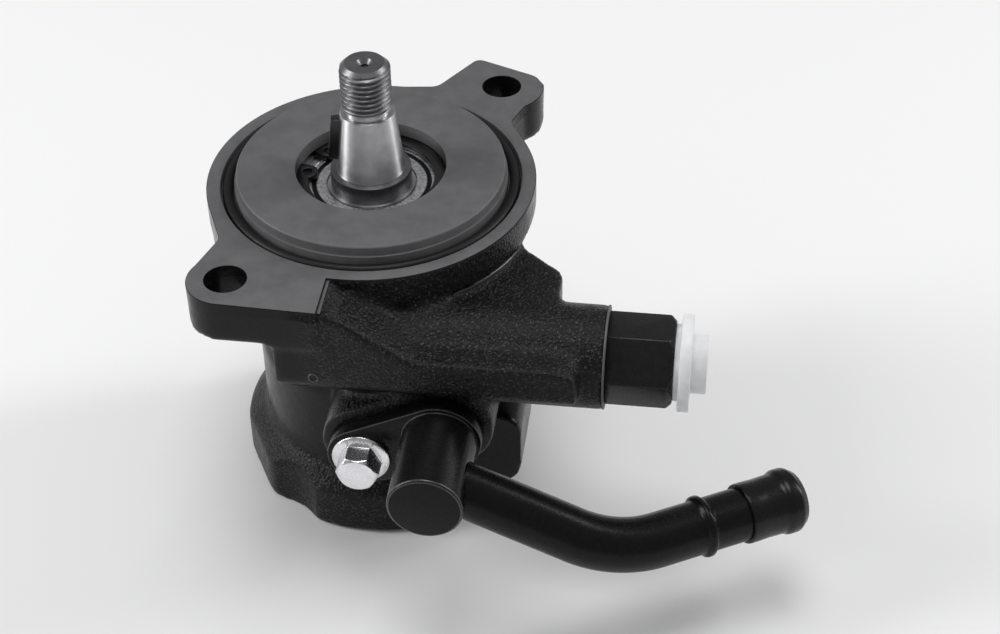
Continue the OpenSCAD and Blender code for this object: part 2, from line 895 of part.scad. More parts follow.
module each_ball() {
    for (i = [0:ball_count - 1])
        rotate([0, 0, 360 * i / ball_count])
            translate([ball_pitch_r, 0, bearing_top - bearing_w / 2])
                children();
}

module bearing_cage() {
    color(bronze)
        difference() {
            ring(bearing_top - bearing_w / 2 + cage_h / 2, cage_h,
                ball_pitch_r + cage_half_w, ball_pitch_r - cage_half_w);
            each_ball()
                sphere(r = ball_r + pocket_play);
        }
}

module bearing_balls() {
    color(bright_steel)
        each_ball()
            sphere(r = ball_r);
}

module bearing_snap_ring() {
    color(dark_steel)
        translate([0, 0, bearing_top])
            rotate([0, 0, front_ring_turn])
                bore_clip(bearing_r + ring_groove - seat_gap, front_ring_w, front_ring_t, front_ring_gap);
}

module shaft_oil_seal() {
    lip_h = 1.5;
    lip_t = 1.5;
    foot_z = 0.8;
    foot_r = journal_r + 1.2;
    back_r = journal_r + 2;
    root_r = journal_r + 2.6;
    case_r = seal_r - 3;
    color(rubber_black)
        translate([0, 0, seal_bottom])
            rotate_extrude()
                polygon([
                    [case_r, 0],
                    [seal_r, 0],
                    [seal_r, seal_w],
                    [journal_r + lip_t, seal_w],
                    [journal_r + play, seal_w - lip_h],
                    [journal_r + play, seal_w - 2 * lip_h],
                    [foot_r, foot_z],
                    [back_r, foot_z],
                    [root_r, seal_w - lip_h],
                    [case_r, seal_w - lip_h]
                ]);
}

module shaft_bush() {
    color(bronze)
        ring(bush_top, bush_top - bush_bottom, bush_r, journal_r + play);
}

// Threaded end, taper, collar, bearing seat and splined end
module drive_shaft() {
    relief_len = 1.6;
    relief_d = 0.9;
    collar_chamfer = 0.5;
    end_chamfer = 1;
    neck_play = 0.4;
    centre_r = 1.2;
    centre_depth = 3;
    sink_r = 2.2;
    sink_depth = 1.3;
    color(bright_steel)
        difference() {
            rotate_extrude()
                polygon([
                    [0, shaft_bottom],
                    [spline_r, shaft_bottom],
                    [spline_r, bush_bottom + neck_play],
                    [journal_r, bush_bottom + neck_play],
                    [journal_r, bearing_top],
                    [collar_r, bearing_top],
                    [collar_r, collar_top - collar_chamfer],
                    [collar_r - collar_chamfer, collar_top],
                    [taper_large_r, collar_top],
                    [taper_small_r, taper_top],
                    [thread_r - relief_d, taper_top],
                    [thread_r - relief_d, taper_top + relief_len],
                    [thread_r, taper_top + relief_len + relief_d],
                    [thread_r, shaft_top - end_chamfer],
                    [thread_r - end_chamfer, shaft_top],
                    [0, shaft_top]
                ]);
            ring(bearing_bottom, clip_t, journal_r + overcut, journal_r - clip_groove);
            ring(cam_bottom, clip_t, spline_r + overcut, spline_r - clip_groove);
            translate([0, 0, shaft_top - centre_depth])
                cylinder(h = centre_depth + overcut, r = centre_r);
            translate([0, 0, shaft_top - sink_depth])
                cylinder(h = sink_depth + seat_gap, r1 = centre_r, r2 = sink_r);
            key_slot();
        }
}

module key_frame() {
    rotate([0, 0, key_angle])
        translate([key_mid_r, 0, key_mid_z])
            rotate([0, -key_lean, 0])
                children();
}

module key_slot() {
    key_frame()
        rotate([90, 0, 0])
            translate([0, 0, -key_w / 2])
                cylinder(h = key_w, r = key_r);
}

module woodruff_key() {
    color(dark_steel)
        key_frame()
            difference() {
                rotate([90, 0, 0])
                    translate([0, 0, -key_w / 2])
                        cylinder(h = key_w, r = key_r);
                translate([key_proud, -key_w, -key_len])
                    cube([key_len, 2 * key_w, 2 * key_len]);
            }
}

module shaft_clip(top, shaft_r) {
    groove_r = shaft_r - clip_groove;
    color(dark_steel)
        difference() {
            ring(top, clip_t, groove_r + clip_w, groove_r);
            translate([0, -groove_r / 3, top - clip_t - overcut])
                cube([shaft_r + 2 * clip_w, 2 * groove_r / 3, clip_t + 2 * overcut]);
        }
}

module shaft_snap_ring() {
    shaft_clip(bearing_bottom, journal_r);
}

module rotor_snap_ring() {
    shaft_clip(cam_bottom, spline_r);
}

module rotor() {
    height = cam_w - 2 * side_play;
    root_r = vane_t * 0.75;
    color(sintered)
        difference() {
            ring(cam_top - side_play, height, rotor_r, spline_r);
            for (i = [0:vane_count - 1])
                rotate([0, 0, first_vane + i * vane_step]) {
                    translate([slot_root_r, -vane_t / 2 - play, cam_bottom - overcut])
                        cube([rotor_r, vane_t + 2 * play, cam_w + 2 * overcut]);
                    translate([slot_root_r + root_r, 0, cam_bottom - overcut])
                        cylinder(h = cam_w + 2 * overcut, r = root_r);
                }
        }
}

module vane(i) {
    height = cam_w - 4 * side_play;
    color(bright_steel)
        rotate([0, 0, first_vane + (i - 1) * vane_step])
            translate([vane_inner_r, -vane_t / 2, cam_bottom + 2 * side_play])
                cube([vane_len, vane_t, height]);
}

module dowel_holes() {
    for (side = [-1, 1])
        translate([side * dowel_pcd_r, 0, rear_plate_bottom])
            cylinder(h = -rear_plate_bottom + front_plate_top + overcut, r = dowel_r + play);
}

// Ring whose two-lobed bore drives the vanes
module cam_ring() {
    steps = 96;
    color(sintered)
        difference() {
            translate([0, 0, cam_bottom])
                linear_extrude(cam_w)
                    difference() {
                        circle(r = chamber_r - seat_gap);
                        polygon([for (i = [0:steps - 1])
                            let(a = 360 * i / steps)
                            (cam_minor_r + cam_lift * (1 - cos(2 * a)) / 2) * [cos(a), sin(a)]]);
                    }
            dowel_holes();
        }
}

// Kidney ports of a side plate, two for suction and two for delivery
module plate_ports(top, height) {
    port_w = 3;
    port_from = 18;
    port_sweep = 38;
    for (turn = [0, 90, 180, 270])
        rotate([0, 0, turn + port_from])
            translate([0, 0, top - height])
                rotate_extrude(angle = port_sweep)
                    translate([cam_minor_r - 2 * port_w, 0])
                        square([port_w, height]);
}

module front_side_plate() {
    shaft_play = 0.3;
    color(sintered)
        difference() {
            ring(front_plate_top, front_plate_t, chamber_r - seat_gap, spline_r + shaft_play);
            chamber_groove(front_plate_top - front_plate_t / 2);
            plate_ports(front_plate_top + overcut, front_plate_t + 2 * overcut);
            dowel_holes();
        }
}

module rear_side_plate() {
    clip_play = 0.4;
    clip_room = spline_r - clip_groove + clip_w + clip_play;
    color(sintered)
        difference() {
            ring(cam_bottom, rear_plate_t, chamber_r - seat_gap, clip_room);
            plate_ports(cam_bottom + overcut, rear_plate_t / 2 + overcut);
            dowel_holes();
        }
}

module dowel_pins() {
    pin_drop = 1;
    color(bright_steel)
        for (side = [-1, 1])
            translate([side * dowel_pcd_r, 0, rear_plate_bottom + pin_drop])
                cylinder(h = front_plate_top - rear_plate_bottom - 2 * pin_drop, r = dowel_r);
}

module side_plate_o_ring() {
    color(rubber_black)
        translate([0, 0, front_plate_top - front_plate_t / 2])
            torus(chamber_r - seat_gap - chamber_ring_r, chamber_ring_r);
}

// Flat ring pressed into three waves
module wave_spring() {
    steps = 60;
    waves = 3;
    inset = 4;
    inner_r = cam_minor_r - inset;
    outer_r = chamber_r - inset;
    thick = 0.5;
    lift = (wave_room - thick) / 2 - play;
    mid_z = rear_plate_bottom - wave_room / 2;
    section = [[inner_r, -thick / 2], [outer_r, -thick / 2], [outer_r, thick / 2], [inner_r, thick / 2]];
    points = [for (i = [0:steps - 1], p = section)
        let(a = 360 * i / steps)
        [p.x * cos(a), p.x * sin(a), mid_z + p.y + lift * cos(waves * a)]];
    faces = [for (i = [0:steps - 1], j = [0:3])
        let(next = (i + 1) % steps, k = (j + 1) % 4)
        each [[4 * i + j, 4 * next + k, 4 * next + j], [4 * i + j, 4 * i + k, 4 * next + k]]];
    color(bright_steel)
        polyhedron(points, faces);
}

// Hexagonal union with a shank screwed into the barrel
module pressure_port_union() {
    hex_r = union_af / sqrt(3);
    jet_r = 3.2;
    corner_cut = 1.6;
    bore_sink = 2;
    color(cast_black)
        translate(valve_axis)
            difference() {
                union() {
                    intersection() {
                        translate([barrel_end, 0, 0])
                            rotate([hex_turn, 0, 0])
                                rotate([0, 90, 0])
                                    rotate([0, 0, 90])
                                        cylinder(h = union_hex_len, r = hex_r, $fn = 6);
                        translate([barrel_end, 0, 0])
                            rotate([0, 90, 0])
                                cylinder(h = union_hex_len, r1 = hex_r + union_hex_len - corner_cut,
                                    r2 = hex_r - corner_cut);
                    }
                    bar_x(shank_end, barrel_end, union_shank_r);
                }
                bar_x(barrel_end - bore_sink, union_end + overcut, union_bore_r);
                bar_x(shank_end - overcut, barrel_end, jet_r);
            }
}

module union_o_ring() {
    color(rubber_black)
        translate(valve_axis)
            translate([barrel_end - union_ring_r - play, 0, 0])
                rotate([0, 90, 0])
                    torus(union_shank_r + union_ring_r + play, union_ring_r);
}

// Spool with three lands, a drilled nose and a spring pocket in its back
module flow_control_valve() {
    land_r = valve_r - play;
    groove_r = valve_r - 2.2;
    land = spool_len / 6;
    land_starts = [0, 0.42, 0.76];
    nose_len = 2;
    nose_r = groove_r - 2;
    pocket_r = spring_r + spring_wire_r + 0.3;
    color(bright_steel)
        translate(valve_axis)
            difference() {
                union() {
                    bar_x(spool_back, spool_front - nose_len, groove_r);
                    bar_x(spool_front - nose_len, spool_front, nose_r);
                    for (at = land_starts)
                        bar_x(spool_back + at * spool_len, spool_back + at * spool_len + land, land_r);
                }
                bar_x(spool_back - overcut, spool_back + spring_pocket, pocket_r);
            }
}

// Helical spring behind the valve, swept along its turns
module flow_spring() {
    sides = 8;
    per_turn = 16;
    rings = spring_turns * per_turn;
    from = valve_back + spring_wire_r + play;
    to = spool_back + spring_pocket - spring_wire_r - play;
    points = [for (i = [0:rings], j = [0:sides - 1])
        let(a = 360 * i / per_turn, b = 360 * j / sides)
        let(r = spring_r + spring_wire_r * cos(b))
        [from + (to - from) * i / rings + spring_wire_r * sin(b), r * cos(a), r * sin(a)]];
    walls = [for (i = [0:rings - 1], j = [0:sides - 1])
        let(k = (j + 1) % sides)
        each [
            [i * sides + j, i * sides + k, (i + 1) * sides + j],
            [i * sides + k, (i + 1) * sides + k, (i + 1) * sides + j]
        ]];
    ends = [[for (j = [0:sides - 1]) sides - 1 - j], [for (j = [0:sides - 1]) rings * sides + j]];
    color(bright_steel)
        translate(valve_axis)
            polyhedron(points, concat(walls, ends));
}

// Push-in plug that keeps dirt out of the pressure port
module shipping_plug() {
    rib_t = 1.8;
    rib_drop = 0.8;
    rib_half = plug_hub_r - 1;
    rib_turns = [10, 70, 130];
    hub_wall = 1.8;
    hub_floor = 1;
    stem_wall = 1.5;
    stem_floor = 2;
    color(plug_white)
        translate(valve_axis) {
            difference() {
                union() {
                    bar_x(plug_back, plug_front, plug_r);
                    bar_x(union_end + play, plug_back, plug_neck_r);
                    bar_x(union_end - plug_stem_len, plug_back, plug_stem_r);
                    bar_x(plug_front, plug_front + plug_hub_len, plug_hub_r);
                }
                bar_x(union_end - plug_stem_len - overcut, union_end - stem_floor, plug_stem_r - stem_wall);
                bar_x(plug_front + hub_floor, plug_front + plug_hub_len + overcut, plug_hub_r - hub_wall);
            }
            for (turn = rib_turns)
                rotate([turn, 0, 0])
                    translate([plug_front, -rib_half, -rib_t / 2])
                        cube([plug_hub_len - rib_drop, 2 * rib_half, rib_t]);
        }
}

// Outline of the union's bolting tab, and with an extra rim of the boss behind it
module tab_outline(extra = 0) {
    hull() {
        translate([suction_x, -suction_z])
            circle(r = suction_body_r + tab_rim + extra, $fn = 48);
        translate([bolt_place.x, bolt_place.z])
            circle(r = bolt_tab_r + extra, $fn = 40);
    }
}

// Round fitting with its bolting tab, spigot and side hole for the tube
module suction_union() {
    end_wall = 3;
    end_chamfer = 0.5;
    bolt_play = 0.4;
    color(cast_black)
        difference() {
            union() {
                translate([0, -pad_y, 0])
                    rotate([90, 0, 0])
                        linear_extrude(tab_t)
                            tab_outline();
                translate(suction_axis) {
                    bar_y(pad_y, suction_end - end_chamfer, suction_body_r);
                    translate([0, -suction_end + end_chamfer, 0])
                        rotate([90, 0, 0])
                            cylinder(h = end_chamfer, r1 = suction_body_r,
                                r2 = suction_body_r - end_chamfer);
                    bar_y(pad_y - spigot_len, pad_y, spigot_r);
                }
            }
            translate(suction_axis) {
                bar_y(pad_y - spigot_len - overcut, suction_end - end_wall, suction_passage_r);
                difference() {
                    bar_y(suction_ring_y - suction_groove_w / 2, suction_ring_y + suction_groove_w / 2,
                        spigot_r + overcut);
                    bar_y(suction_ring_y - suction_groove_w, suction_ring_y + suction_groove_w,
                        spigot_r - suction_groove_d);
                }
            }
            translate(bolt_place)
                bar_y(pad_y - overcut, pad_y + tab_t + overcut, bolt_r + bolt_play);
            tube_frame()
                rotate([0, 90, 0])
                    cylinder(h = tube_first, r = tube_r + play);
        }
}

module suction_o_ring() {
    color(rubber_black)
        translate(suction_axis)
            translate([0, -suction_ring_y, 0])
                rotate([90, 0, 0])
                    torus(spigot_r - suction_ring_r, suction_ring_r);
}

// Frame at the union's axis with +X along the tube's first leg and both legs in its XY plane
module tube_frame() {
    translate([suction_x, -tube_y, -suction_z])
        rotate([tube_roll, tube_dip, tube_yaw])
            children();
}

// Frame at the tube's corner with +X along its second leg
module second_leg_frame() {
    tube_frame()
        translate([tube_first, 0, 0])
            rotate([0, 0, tube_turn])
                children();
}

// Both legs and the bend between them, which laps into the legs and is drawn a little thinner
module tube_path(r, bend_r, start, finish) {
    bend_lap = 0.3;
    tube_frame()
        bar_x(start, tube_first - bend_tangent, r);
    second_leg_frame() {
        bar_x(bend_tangent, finish, r);
        translate([bend_tangent, tube_bend_r, 0])
            rotate([0, 0, -90 - tube_turn - bend_lap])
                rotate_extrude(angle = tube_turn + 2 * bend_lap)
                    translate([tube_bend_r, 0])
                        circle(r = bend_r);
    }
}

module suction_tube() {
    start = suction_body_r - 3;
    bead_w = 2.4;
    bead_root = tube_r - 1;
    bead_top = tube_r + bead_h;
    color(cast_black)
        difference() {
            union() {
                tube_path(tube_r, tube_r - bend_thin, start, tube_second);
                second_leg_frame()
                    translate([bead_at, 0, 0])
                        rotate([0, 90, 0])
                            rotate_extrude()
                                polygon([
                                    [bead_root, -bead_w],
                                    [tube_r, -bead_w],
                                    [bead_top, -bead_w / 2],
                                    [bead_top, bead_w / 2],
                                    [tube_r, bead_w],
                                    [bead_root, bead_w]
                                ]);
            }
            tube_path(tube_inner_r, tube_inner_r + bend_thin, start - overcut, tube_second + overcut);
        }
}

// Thin cap pushed over the tube's open end
module suction_cap() {
    inner = tube_r + play;
    outer = inner + cap_wall;
    mouth_chamfer = 0.4;
    bulge_from = cap_len - 5;
    bulge_to = cap_len - 2.2;
    bulge_ramp = 1.5;
    end_round = 0.8;
    color(rubber_black)
        second_leg_frame()
            translate([tube_second - cap_cover, 0, 0])
                rotate([0, 90, 0])
                    rotate_extrude()
                        polygon([
                            [0, cap_cover],
                            [inner, cap_cover],
                            [inner, 0],
                            [outer - mouth_chamfer, 0],
                            [outer, mouth_chamfer],
                            [outer, bulge_from - bulge_ramp],
                            [outer + cap_bulge, bulge_from],
                            [outer + cap_bulge, bulge_to],
                            [outer, cap_len - end_round],
                            [outer - end_round, cap_len],
                            [0, cap_len]
                        ]);
}

module suction_bolt() {
    head_r = bolt_af / sqrt(3);
    rim_t = washer_t / 2;
    corner_cut = 1.1;
    color(zinc)
        translate(bolt_place) {
            bar_y(pad_y - bolt_depth, pad_y + tab_t, bolt_r);
            translate([0, -pad_y - tab_t, 0])
                rotate([90, 0, 0]) {
                    cylinder(h = rim_t, r = bolt_flange_r);
                    translate([0, 0, rim_t])
                        cylinder(h = washer_t - rim_t, r1 = bolt_flange_r, r2 = head_r);
                    intersection() {
                        cylinder(h = bolt_head_len, r = head_r, $fn = 6);
                        cylinder(h = bolt_head_len, r1 = head_r + bolt_head_len - corner_cut,
                            r2 = head_r - corner_cut);
                    }
                }
        }
}

front_housing();
rear_cover();
cover_o_ring();
cover_snap_ring();
pilot_o_ring();
bearing_outer_ring();
bearing_shields();
bearing_snap_ring();
shaft_oil_seal();
shaft_bush();
front_side_plate();
cam_ring();
rear_side_plate();
dowel_pins();
side_plate_o_ring();
wave_spring();
pressure_port_union();
union_o_ring();
flow_spring();
shipping_plug();
suction_union();
suction_o_ring();
suction_tube();
suction_cap();
suction_bolt();
drive_shaft();
woodruff_key();
bearing_inner_ring();
shaft_snap_ring();
rotor();
rotor_snap_ring();
bearing_cage();
bearing_balls();
flow_control_valve();
vane(1);  // vane_1
vane(2);  // vane_2
vane(3);  // vane_3
vane(4);  // vane_4
vane(5);  // vane_5
vane(6);  // vane_6
vane(7);  // vane_7
vane(8);  // vane_8
vane(9);  // vane_9
vane(10);  // vane_10
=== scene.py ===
# %% [markdown]
# # A power steering pump, dressed in Blender
# The CAD model gives every solid of the pump in its real place and size. This lesson loads it as a
# fixed frame and adds what solids don't carry: the soft edges of a sand casting, a cut thread, a
# drawn tube, and the finishes. Lengths below are in millimetres and are turned into metres when a
# mesh is made.

# %% Load the frame
import json
import math

import bmesh
import bpy
import numpy as np
from mathutils import Matrix, Vector


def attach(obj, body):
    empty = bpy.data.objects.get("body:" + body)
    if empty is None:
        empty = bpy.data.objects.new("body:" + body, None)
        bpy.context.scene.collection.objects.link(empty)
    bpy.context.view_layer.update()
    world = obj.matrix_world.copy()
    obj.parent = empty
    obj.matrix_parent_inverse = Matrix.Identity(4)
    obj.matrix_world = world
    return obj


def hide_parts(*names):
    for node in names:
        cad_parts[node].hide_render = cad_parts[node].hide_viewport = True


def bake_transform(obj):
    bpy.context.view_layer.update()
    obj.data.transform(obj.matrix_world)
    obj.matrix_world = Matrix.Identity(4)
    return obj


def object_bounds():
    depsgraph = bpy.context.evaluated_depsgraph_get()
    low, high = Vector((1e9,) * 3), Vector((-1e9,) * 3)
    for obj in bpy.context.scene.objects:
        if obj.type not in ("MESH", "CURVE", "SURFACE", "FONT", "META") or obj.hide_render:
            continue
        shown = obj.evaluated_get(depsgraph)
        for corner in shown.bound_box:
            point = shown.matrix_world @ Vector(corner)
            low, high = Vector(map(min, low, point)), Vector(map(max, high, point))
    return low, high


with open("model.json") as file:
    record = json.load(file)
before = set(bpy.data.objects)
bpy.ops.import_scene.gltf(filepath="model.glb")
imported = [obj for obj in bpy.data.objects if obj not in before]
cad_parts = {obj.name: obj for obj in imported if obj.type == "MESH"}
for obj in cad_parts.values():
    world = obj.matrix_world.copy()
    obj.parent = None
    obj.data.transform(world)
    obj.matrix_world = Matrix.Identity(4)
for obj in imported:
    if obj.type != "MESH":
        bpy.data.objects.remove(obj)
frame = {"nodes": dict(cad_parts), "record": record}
cad_low, cad_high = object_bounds()
MM = 0.001

# %% [markdown]
# ## Writing shaders as sums
# A finish is mostly arithmetic on a few patterns. The class below wraps one output socket, so that
# a line such as `1 - grain * 0.3` adds the Math nodes by itself. Any other node comes from its
# `make` method, which sets the node's own settings first and then its sockets.

# %% A socket that does sums
class Wire:
    """One output socket of a material. Operators on it add Math nodes."""

    def __init__(self, tree, socket):
        self.tree = tree
        self.socket = socket

    def make(self, kind, settings=None, inputs=None, output=0):
        node = self.tree.nodes.new(kind)
        for name, value in (settings or {}).items():
            setattr(node, name, value)
        for name, value in (inputs or {}).items():
            if isinstance(value, Wire):
                self.tree.links.new(value.socket, node.inputs[name])
            else:
                node.inputs[name].default_value = value
        return Wire(self.tree, node.outputs[output])

    def math(self, operation, *values):
        return self.make("ShaderNodeMath", {"operation": operation}, dict(enumerate(values)))

    def __add__(self, other):
        return self.math("ADD", self, other)

    def __sub__(self, other):
        return self.math("SUBTRACT", self, other)

    def __rsub__(self, other):
        return self.math("SUBTRACT", other, self)

    def __mul__(self, other):
        return self.math("MULTIPLY", self, other)

    __radd__ = __add__
    __rmul__ = __mul__


print("sockets can be added, multiplied and taken from numbers")

# %% [markdown]
# ## Patterns that several finishes share
# Every pattern reads object coordinates in millimetres. The pieces all have the row's own origin,
# so a grain of 0.6 really is 0.6 mm across on each of them, and it stays with its piece when a
# joint moves.

# %% Patterns in millimetres
def start(name, color, roughness, metallic=0.0, **sockets):
    """A material with constants on its shader. Returns it, its shader and the place in mm."""
    finish = bpy.data.materials.new(name)
    finish.use_nodes = True
    tree = finish.node_tree
    shader = tree.nodes["Principled BSDF"]
    shader.inputs["Base Color"].default_value = (*color, 1)
    shader.inputs["Roughness"].default_value = roughness
    shader.inputs["Metallic"].default_value = metallic
    for socket, value in sockets.items():
        shader.inputs[socket.replace("_", " ")].default_value = value
    place = Wire(tree, None).make("ShaderNodeTexCoord", output="Object")
    place = place.make(
        "ShaderNodeVectorMath", {"operation": "SCALE"}, {0: place, "Scale": 1 / MM})
    return finish, shader, place


def drive(shader, **wires):
    for socket, wire in wires.items():
        wire.tree.links.new(wire.socket, shader.inputs[socket.replace("_", " ")])


def noise(place, size, detail=2.0, rough=0.5, stretch=None):
    if stretch:
        place = place.make(
            "ShaderNodeVectorMath", {"operation": "MULTIPLY"}, {0: place, 1: stretch})
    return place.make(
        "ShaderNodeTexNoise", None,
        {"Vector": place, "Scale": 1 / size, "Detail": detail, "Roughness": rough})


def grains(place, size):
    return place.make(
        "ShaderNodeTexVoronoi", {"feature": "F1"}, {"Vector": place, "Scale": 1 / size})


def fade(value, low, high, to_low=0.0, to_high=1.0):
    """A smooth step from to_low to to_high as value goes from low to high."""
    return value.make(
        "ShaderNodeMapRange", {"interpolation_type": "SMOOTHSTEP"},
        {"Value": value, "From Min": low, "From Max": high, "To Min": to_low, "To Max": to_high})


NOISE_LOW, NOISE_HIGH = 0.3, 0.7


def spread(pattern, to_low=0.0, to_high=1.0):
    """A noise pattern's usual range, spread from to_low to to_high."""
    return fade(pattern, NOISE_LOW, NOISE_HIGH, to_low, to_high)


def axis(place, name):
    return place.make("ShaderNodeSeparateXYZ", None, {"Vector": place}, name)


def from_shaft(place):
    """Distance from the shaft's axis."""
    across, front = axis(place, "X"), axis(place, "Y")
    square = across * across + front * front
    return square.math("SQRT", square)


def as_color(value):
    return value if isinstance(value, Wire) else (*value, 1)


FIRST_COLOR, SECOND_COLOR, MIXED_COLOR = 6, 7, 2


def blend(amount, first, second):
    """A colour between two, through a Mix node. Its colour sockets are found by number."""
    return amount.make(
        "ShaderNodeMix", {"data_type": "RGBA"},
        {"Factor": amount, FIRST_COLOR: as_color(first), SECOND_COLOR: as_color(second)},
        MIXED_COLOR)


def relief(height, depth):
    """A bump of a height pattern that is depth millimetres deep."""
    return height.make(
        "ShaderNodeBump", None, {"Height": height, "Distance": depth * MM, "Strength": 1.0})


COOL_TINT = 1.03


def grey(value):
    return (value, value, value * COOL_TINT)


print("patterns: noise, grains, fade, blend, relief")

# %% [markdown]
# ## Black paint on a sand casting
# The housing is dipped in thin black paint over as-cast iron. The paint doesn't hide the sand: the
# valve barrel, the band beside the ear and the rear rim are grainy, while the walls that the
# pattern maker sanded are smooth and satin. One material does both. A mask in the row's own
# coordinates says where the mould was coarse, and it scales the grain's depth and the gloss. There
# the colour also gets light grey specks on the grain, painted glints that stand in for highlights.

# %% Where the casting is coarse
VALVE_SIDE = (4, 16)
UNDER_FLANGE = (0, 1)
BARREL_FOOT = (46, 38)
BESIDE_EAR = (-12, -2)
REAR_SHOULDER = (74, 82)


def coarse_zone(place):
    """1 where the casting is coarse: the valve side under the flange, and the rear rim."""
    depth = 0 - axis(place, "Z")
    front = 0 - axis(place, "Y")
    across = axis(place, "X")
    valve_side = fade(front, *VALVE_SIDE) * fade(depth, *UNDER_FLANGE) * fade(depth, *BARREL_FOOT)
    coarse = valve_side * fade(across, *BESIDE_EAR) + fade(depth, *REAR_SHOULDER)
    return coarse.math("MINIMUM", coarse, 1.0)


print("coarse from", UNDER_FLANGE[0], "to", BARREL_FOOT[0], "mm under the flange")

# %% Cast black
# The glint size and tone set light grey specks painted into the colour as painted highlights.
FINE_GRAIN, SAND_GRAIN, LUMP, PAINTED_GLINT_SIZE = 0.55, 0.9, 3.2, 0.5
PAINT_TONE, PAINTED_GLINT_TONE = 0.0048, 0.075
CAST_RELIEF = 0.22


def cast_black():
    finish, shader, place = start("cast_black_paint", grey(0.004), 0.34, Specular_IOR_Level=0.2)
    coarse = coarse_zone(place)
    fine = noise(place, FINE_GRAIN, 3, 0.65)
    sand = 1 - grains(place, SAND_GRAIN)
    lumps = noise(place, LUMP, 2)
    # painted glints: light grey specks in the base colour of the coarse grain, a painted highlight
    painted_glints = fade(noise(place, PAINTED_GLINT_SIZE, 2, 0.6), 0.5, 0.66) * fade(sand, 0.35, 0.75) * coarse
    height = fine * (0.1 + coarse * 0.9) + sand * coarse * 0.9 + lumps * (0.3 + coarse * 0.4)
    drive(
        shader,
        Base_Color=blend(painted_glints, grey(PAINT_TONE), grey(PAINTED_GLINT_TONE)),
        Roughness=0.27 + coarse * 0.06 + fade(lumps, 0.35, 0.7, -0.04, 0.05),
        Normal=relief(height, CAST_RELIEF))
    return finish


CAST_BLACK = cast_black()
print("finish:", CAST_BLACK.name)

# %% [markdown]
# ## The machined face
# The mounting face and the pilot disc are faced on a lathe and then phosphated to a flat dark grey.
# Fine turning lines run round the shaft axis. They show only where light grazes them, so they are a
# very shallow relief, with a little unevenness of tone.

# %% Machined grey
LINES_PER_MM = 14
LINE_RELIEF = 0.012


def machined_grey():
    finish, shader, place = start("machined_grey", grey(0.1), 0.5, 0.2, Specular_IOR_Level=0.3)
    turns = from_shaft(place) * LINES_PER_MM
    lines = turns.math("SINE", turns)
    mottle = noise(place, 6, 4, 0.6)
    fine = noise(place, 0.5, 2)
    drive(
        shader,
        Base_Color=blend(spread(mottle), grey(0.106), grey(0.126)),
        Roughness=spread(mottle, 0.46, 0.56),
        Normal=relief(lines * 0.5 + fine, LINE_RELIEF))
    return finish


MACHINED_GREY = machined_grey()
print("finish:", MACHINED_GREY.name)

# %% [markdown]
# ## Steels, plating, plastics and rubber
# The remaining finishes are variations of a few recipes. A steel has a grain that runs round its
# axis, so its noise is stretched along that direction. Zinc plate is bright and slightly cloudy.
# Paint on the tube and the unions is smoother than on the casting. The plug is waxy white plastic.

# %% Recipes for the other finishes
def steel(name, tone, roughness, stretch=(1, 1, 6), depth=0.006, cloud=0.12, **sockets):
    finish, shader, place = start(name, grey(tone), roughness, 1.0, **sockets)
    brushed = noise(place, 0.5, 3, 0.6, stretch)
    clouds = noise(place, 5, 3)
    drive(
        shader,
        Base_Color=blend(spread(clouds), grey(tone * (1 - cloud)), grey(tone * (1 + cloud))),
        Roughness=spread(brushed, roughness * 0.85, roughness * 1.15),
        Normal=relief(brushed, depth))
    return finish


def paint(name, tone, roughness, depth=0.03, specular=0.4):
    finish, shader, place = start(name, grey(tone), roughness, Specular_IOR_Level=specular)
    peel = noise(place, 1.6, 2)
    fine = noise(place, 0.35, 2)
    drive(
        shader,
        Base_Color=blend(spread(peel), grey(tone * 0.85), grey(tone * 1.2)),
        Roughness=spread(fine, roughness - 0.04, roughness + 0.05),
        Normal=relief(peel + fine * 0.4, depth))
    return finish


def moulded(name, color, roughness, depth=0.02, specular=0.5):
    finish, shader, place = start(name, color, roughness, Specular_IOR_Level=specular)
    soft = noise(place, 2.5, 2)
    dark = tuple(c * 0.94 for c in color)
    drive(
        shader,
        Base_Color=blend(spread(soft), dark, color),
        Roughness=spread(noise(place, 0.8, 2), roughness - 0.04, roughness + 0.04),
        Normal=relief(soft, depth))
    return finish


print("recipes: steel, paint, moulded")

# %% [markdown]
# The bearing's shield is pressed steel. It is bright up to its rolled rim; beyond the rim a band is
# painted near black, a painted shade of the deep bore, and the outermost edge is bright again, so
# its colour depends on the distance from the shaft.

# %% The bearing's shield
SHIELD_RIM = (15.2, 15.6)
SHIELD_EDGE = (16.9, 16.7)


def shield_steel():
    finish, shader, place = start("shield_steel", grey(0.55), 0.4, 1.0)
    radius = from_shaft(place)
    grained = noise(place, 0.7, 3, 0.6)
    bright = blend(fade(grained, 0.35, 0.65), grey(0.42), grey(0.66))
    # painted shade: a near-black band from the rim outwards, for the shade deep in the bore
    painted_shade_band = fade(radius, *SHIELD_RIM) * fade(radius, *SHIELD_EDGE)
    drive(
        shader,
        Base_Color=blend(painted_shade_band, bright, grey(0.02)),
        Roughness=spread(grained, 0.32, 0.48),
        Normal=relief(grained, 0.03))
    return finish


SHIELD_STEEL = shield_steel()
print("finish:", SHIELD_STEEL.name)

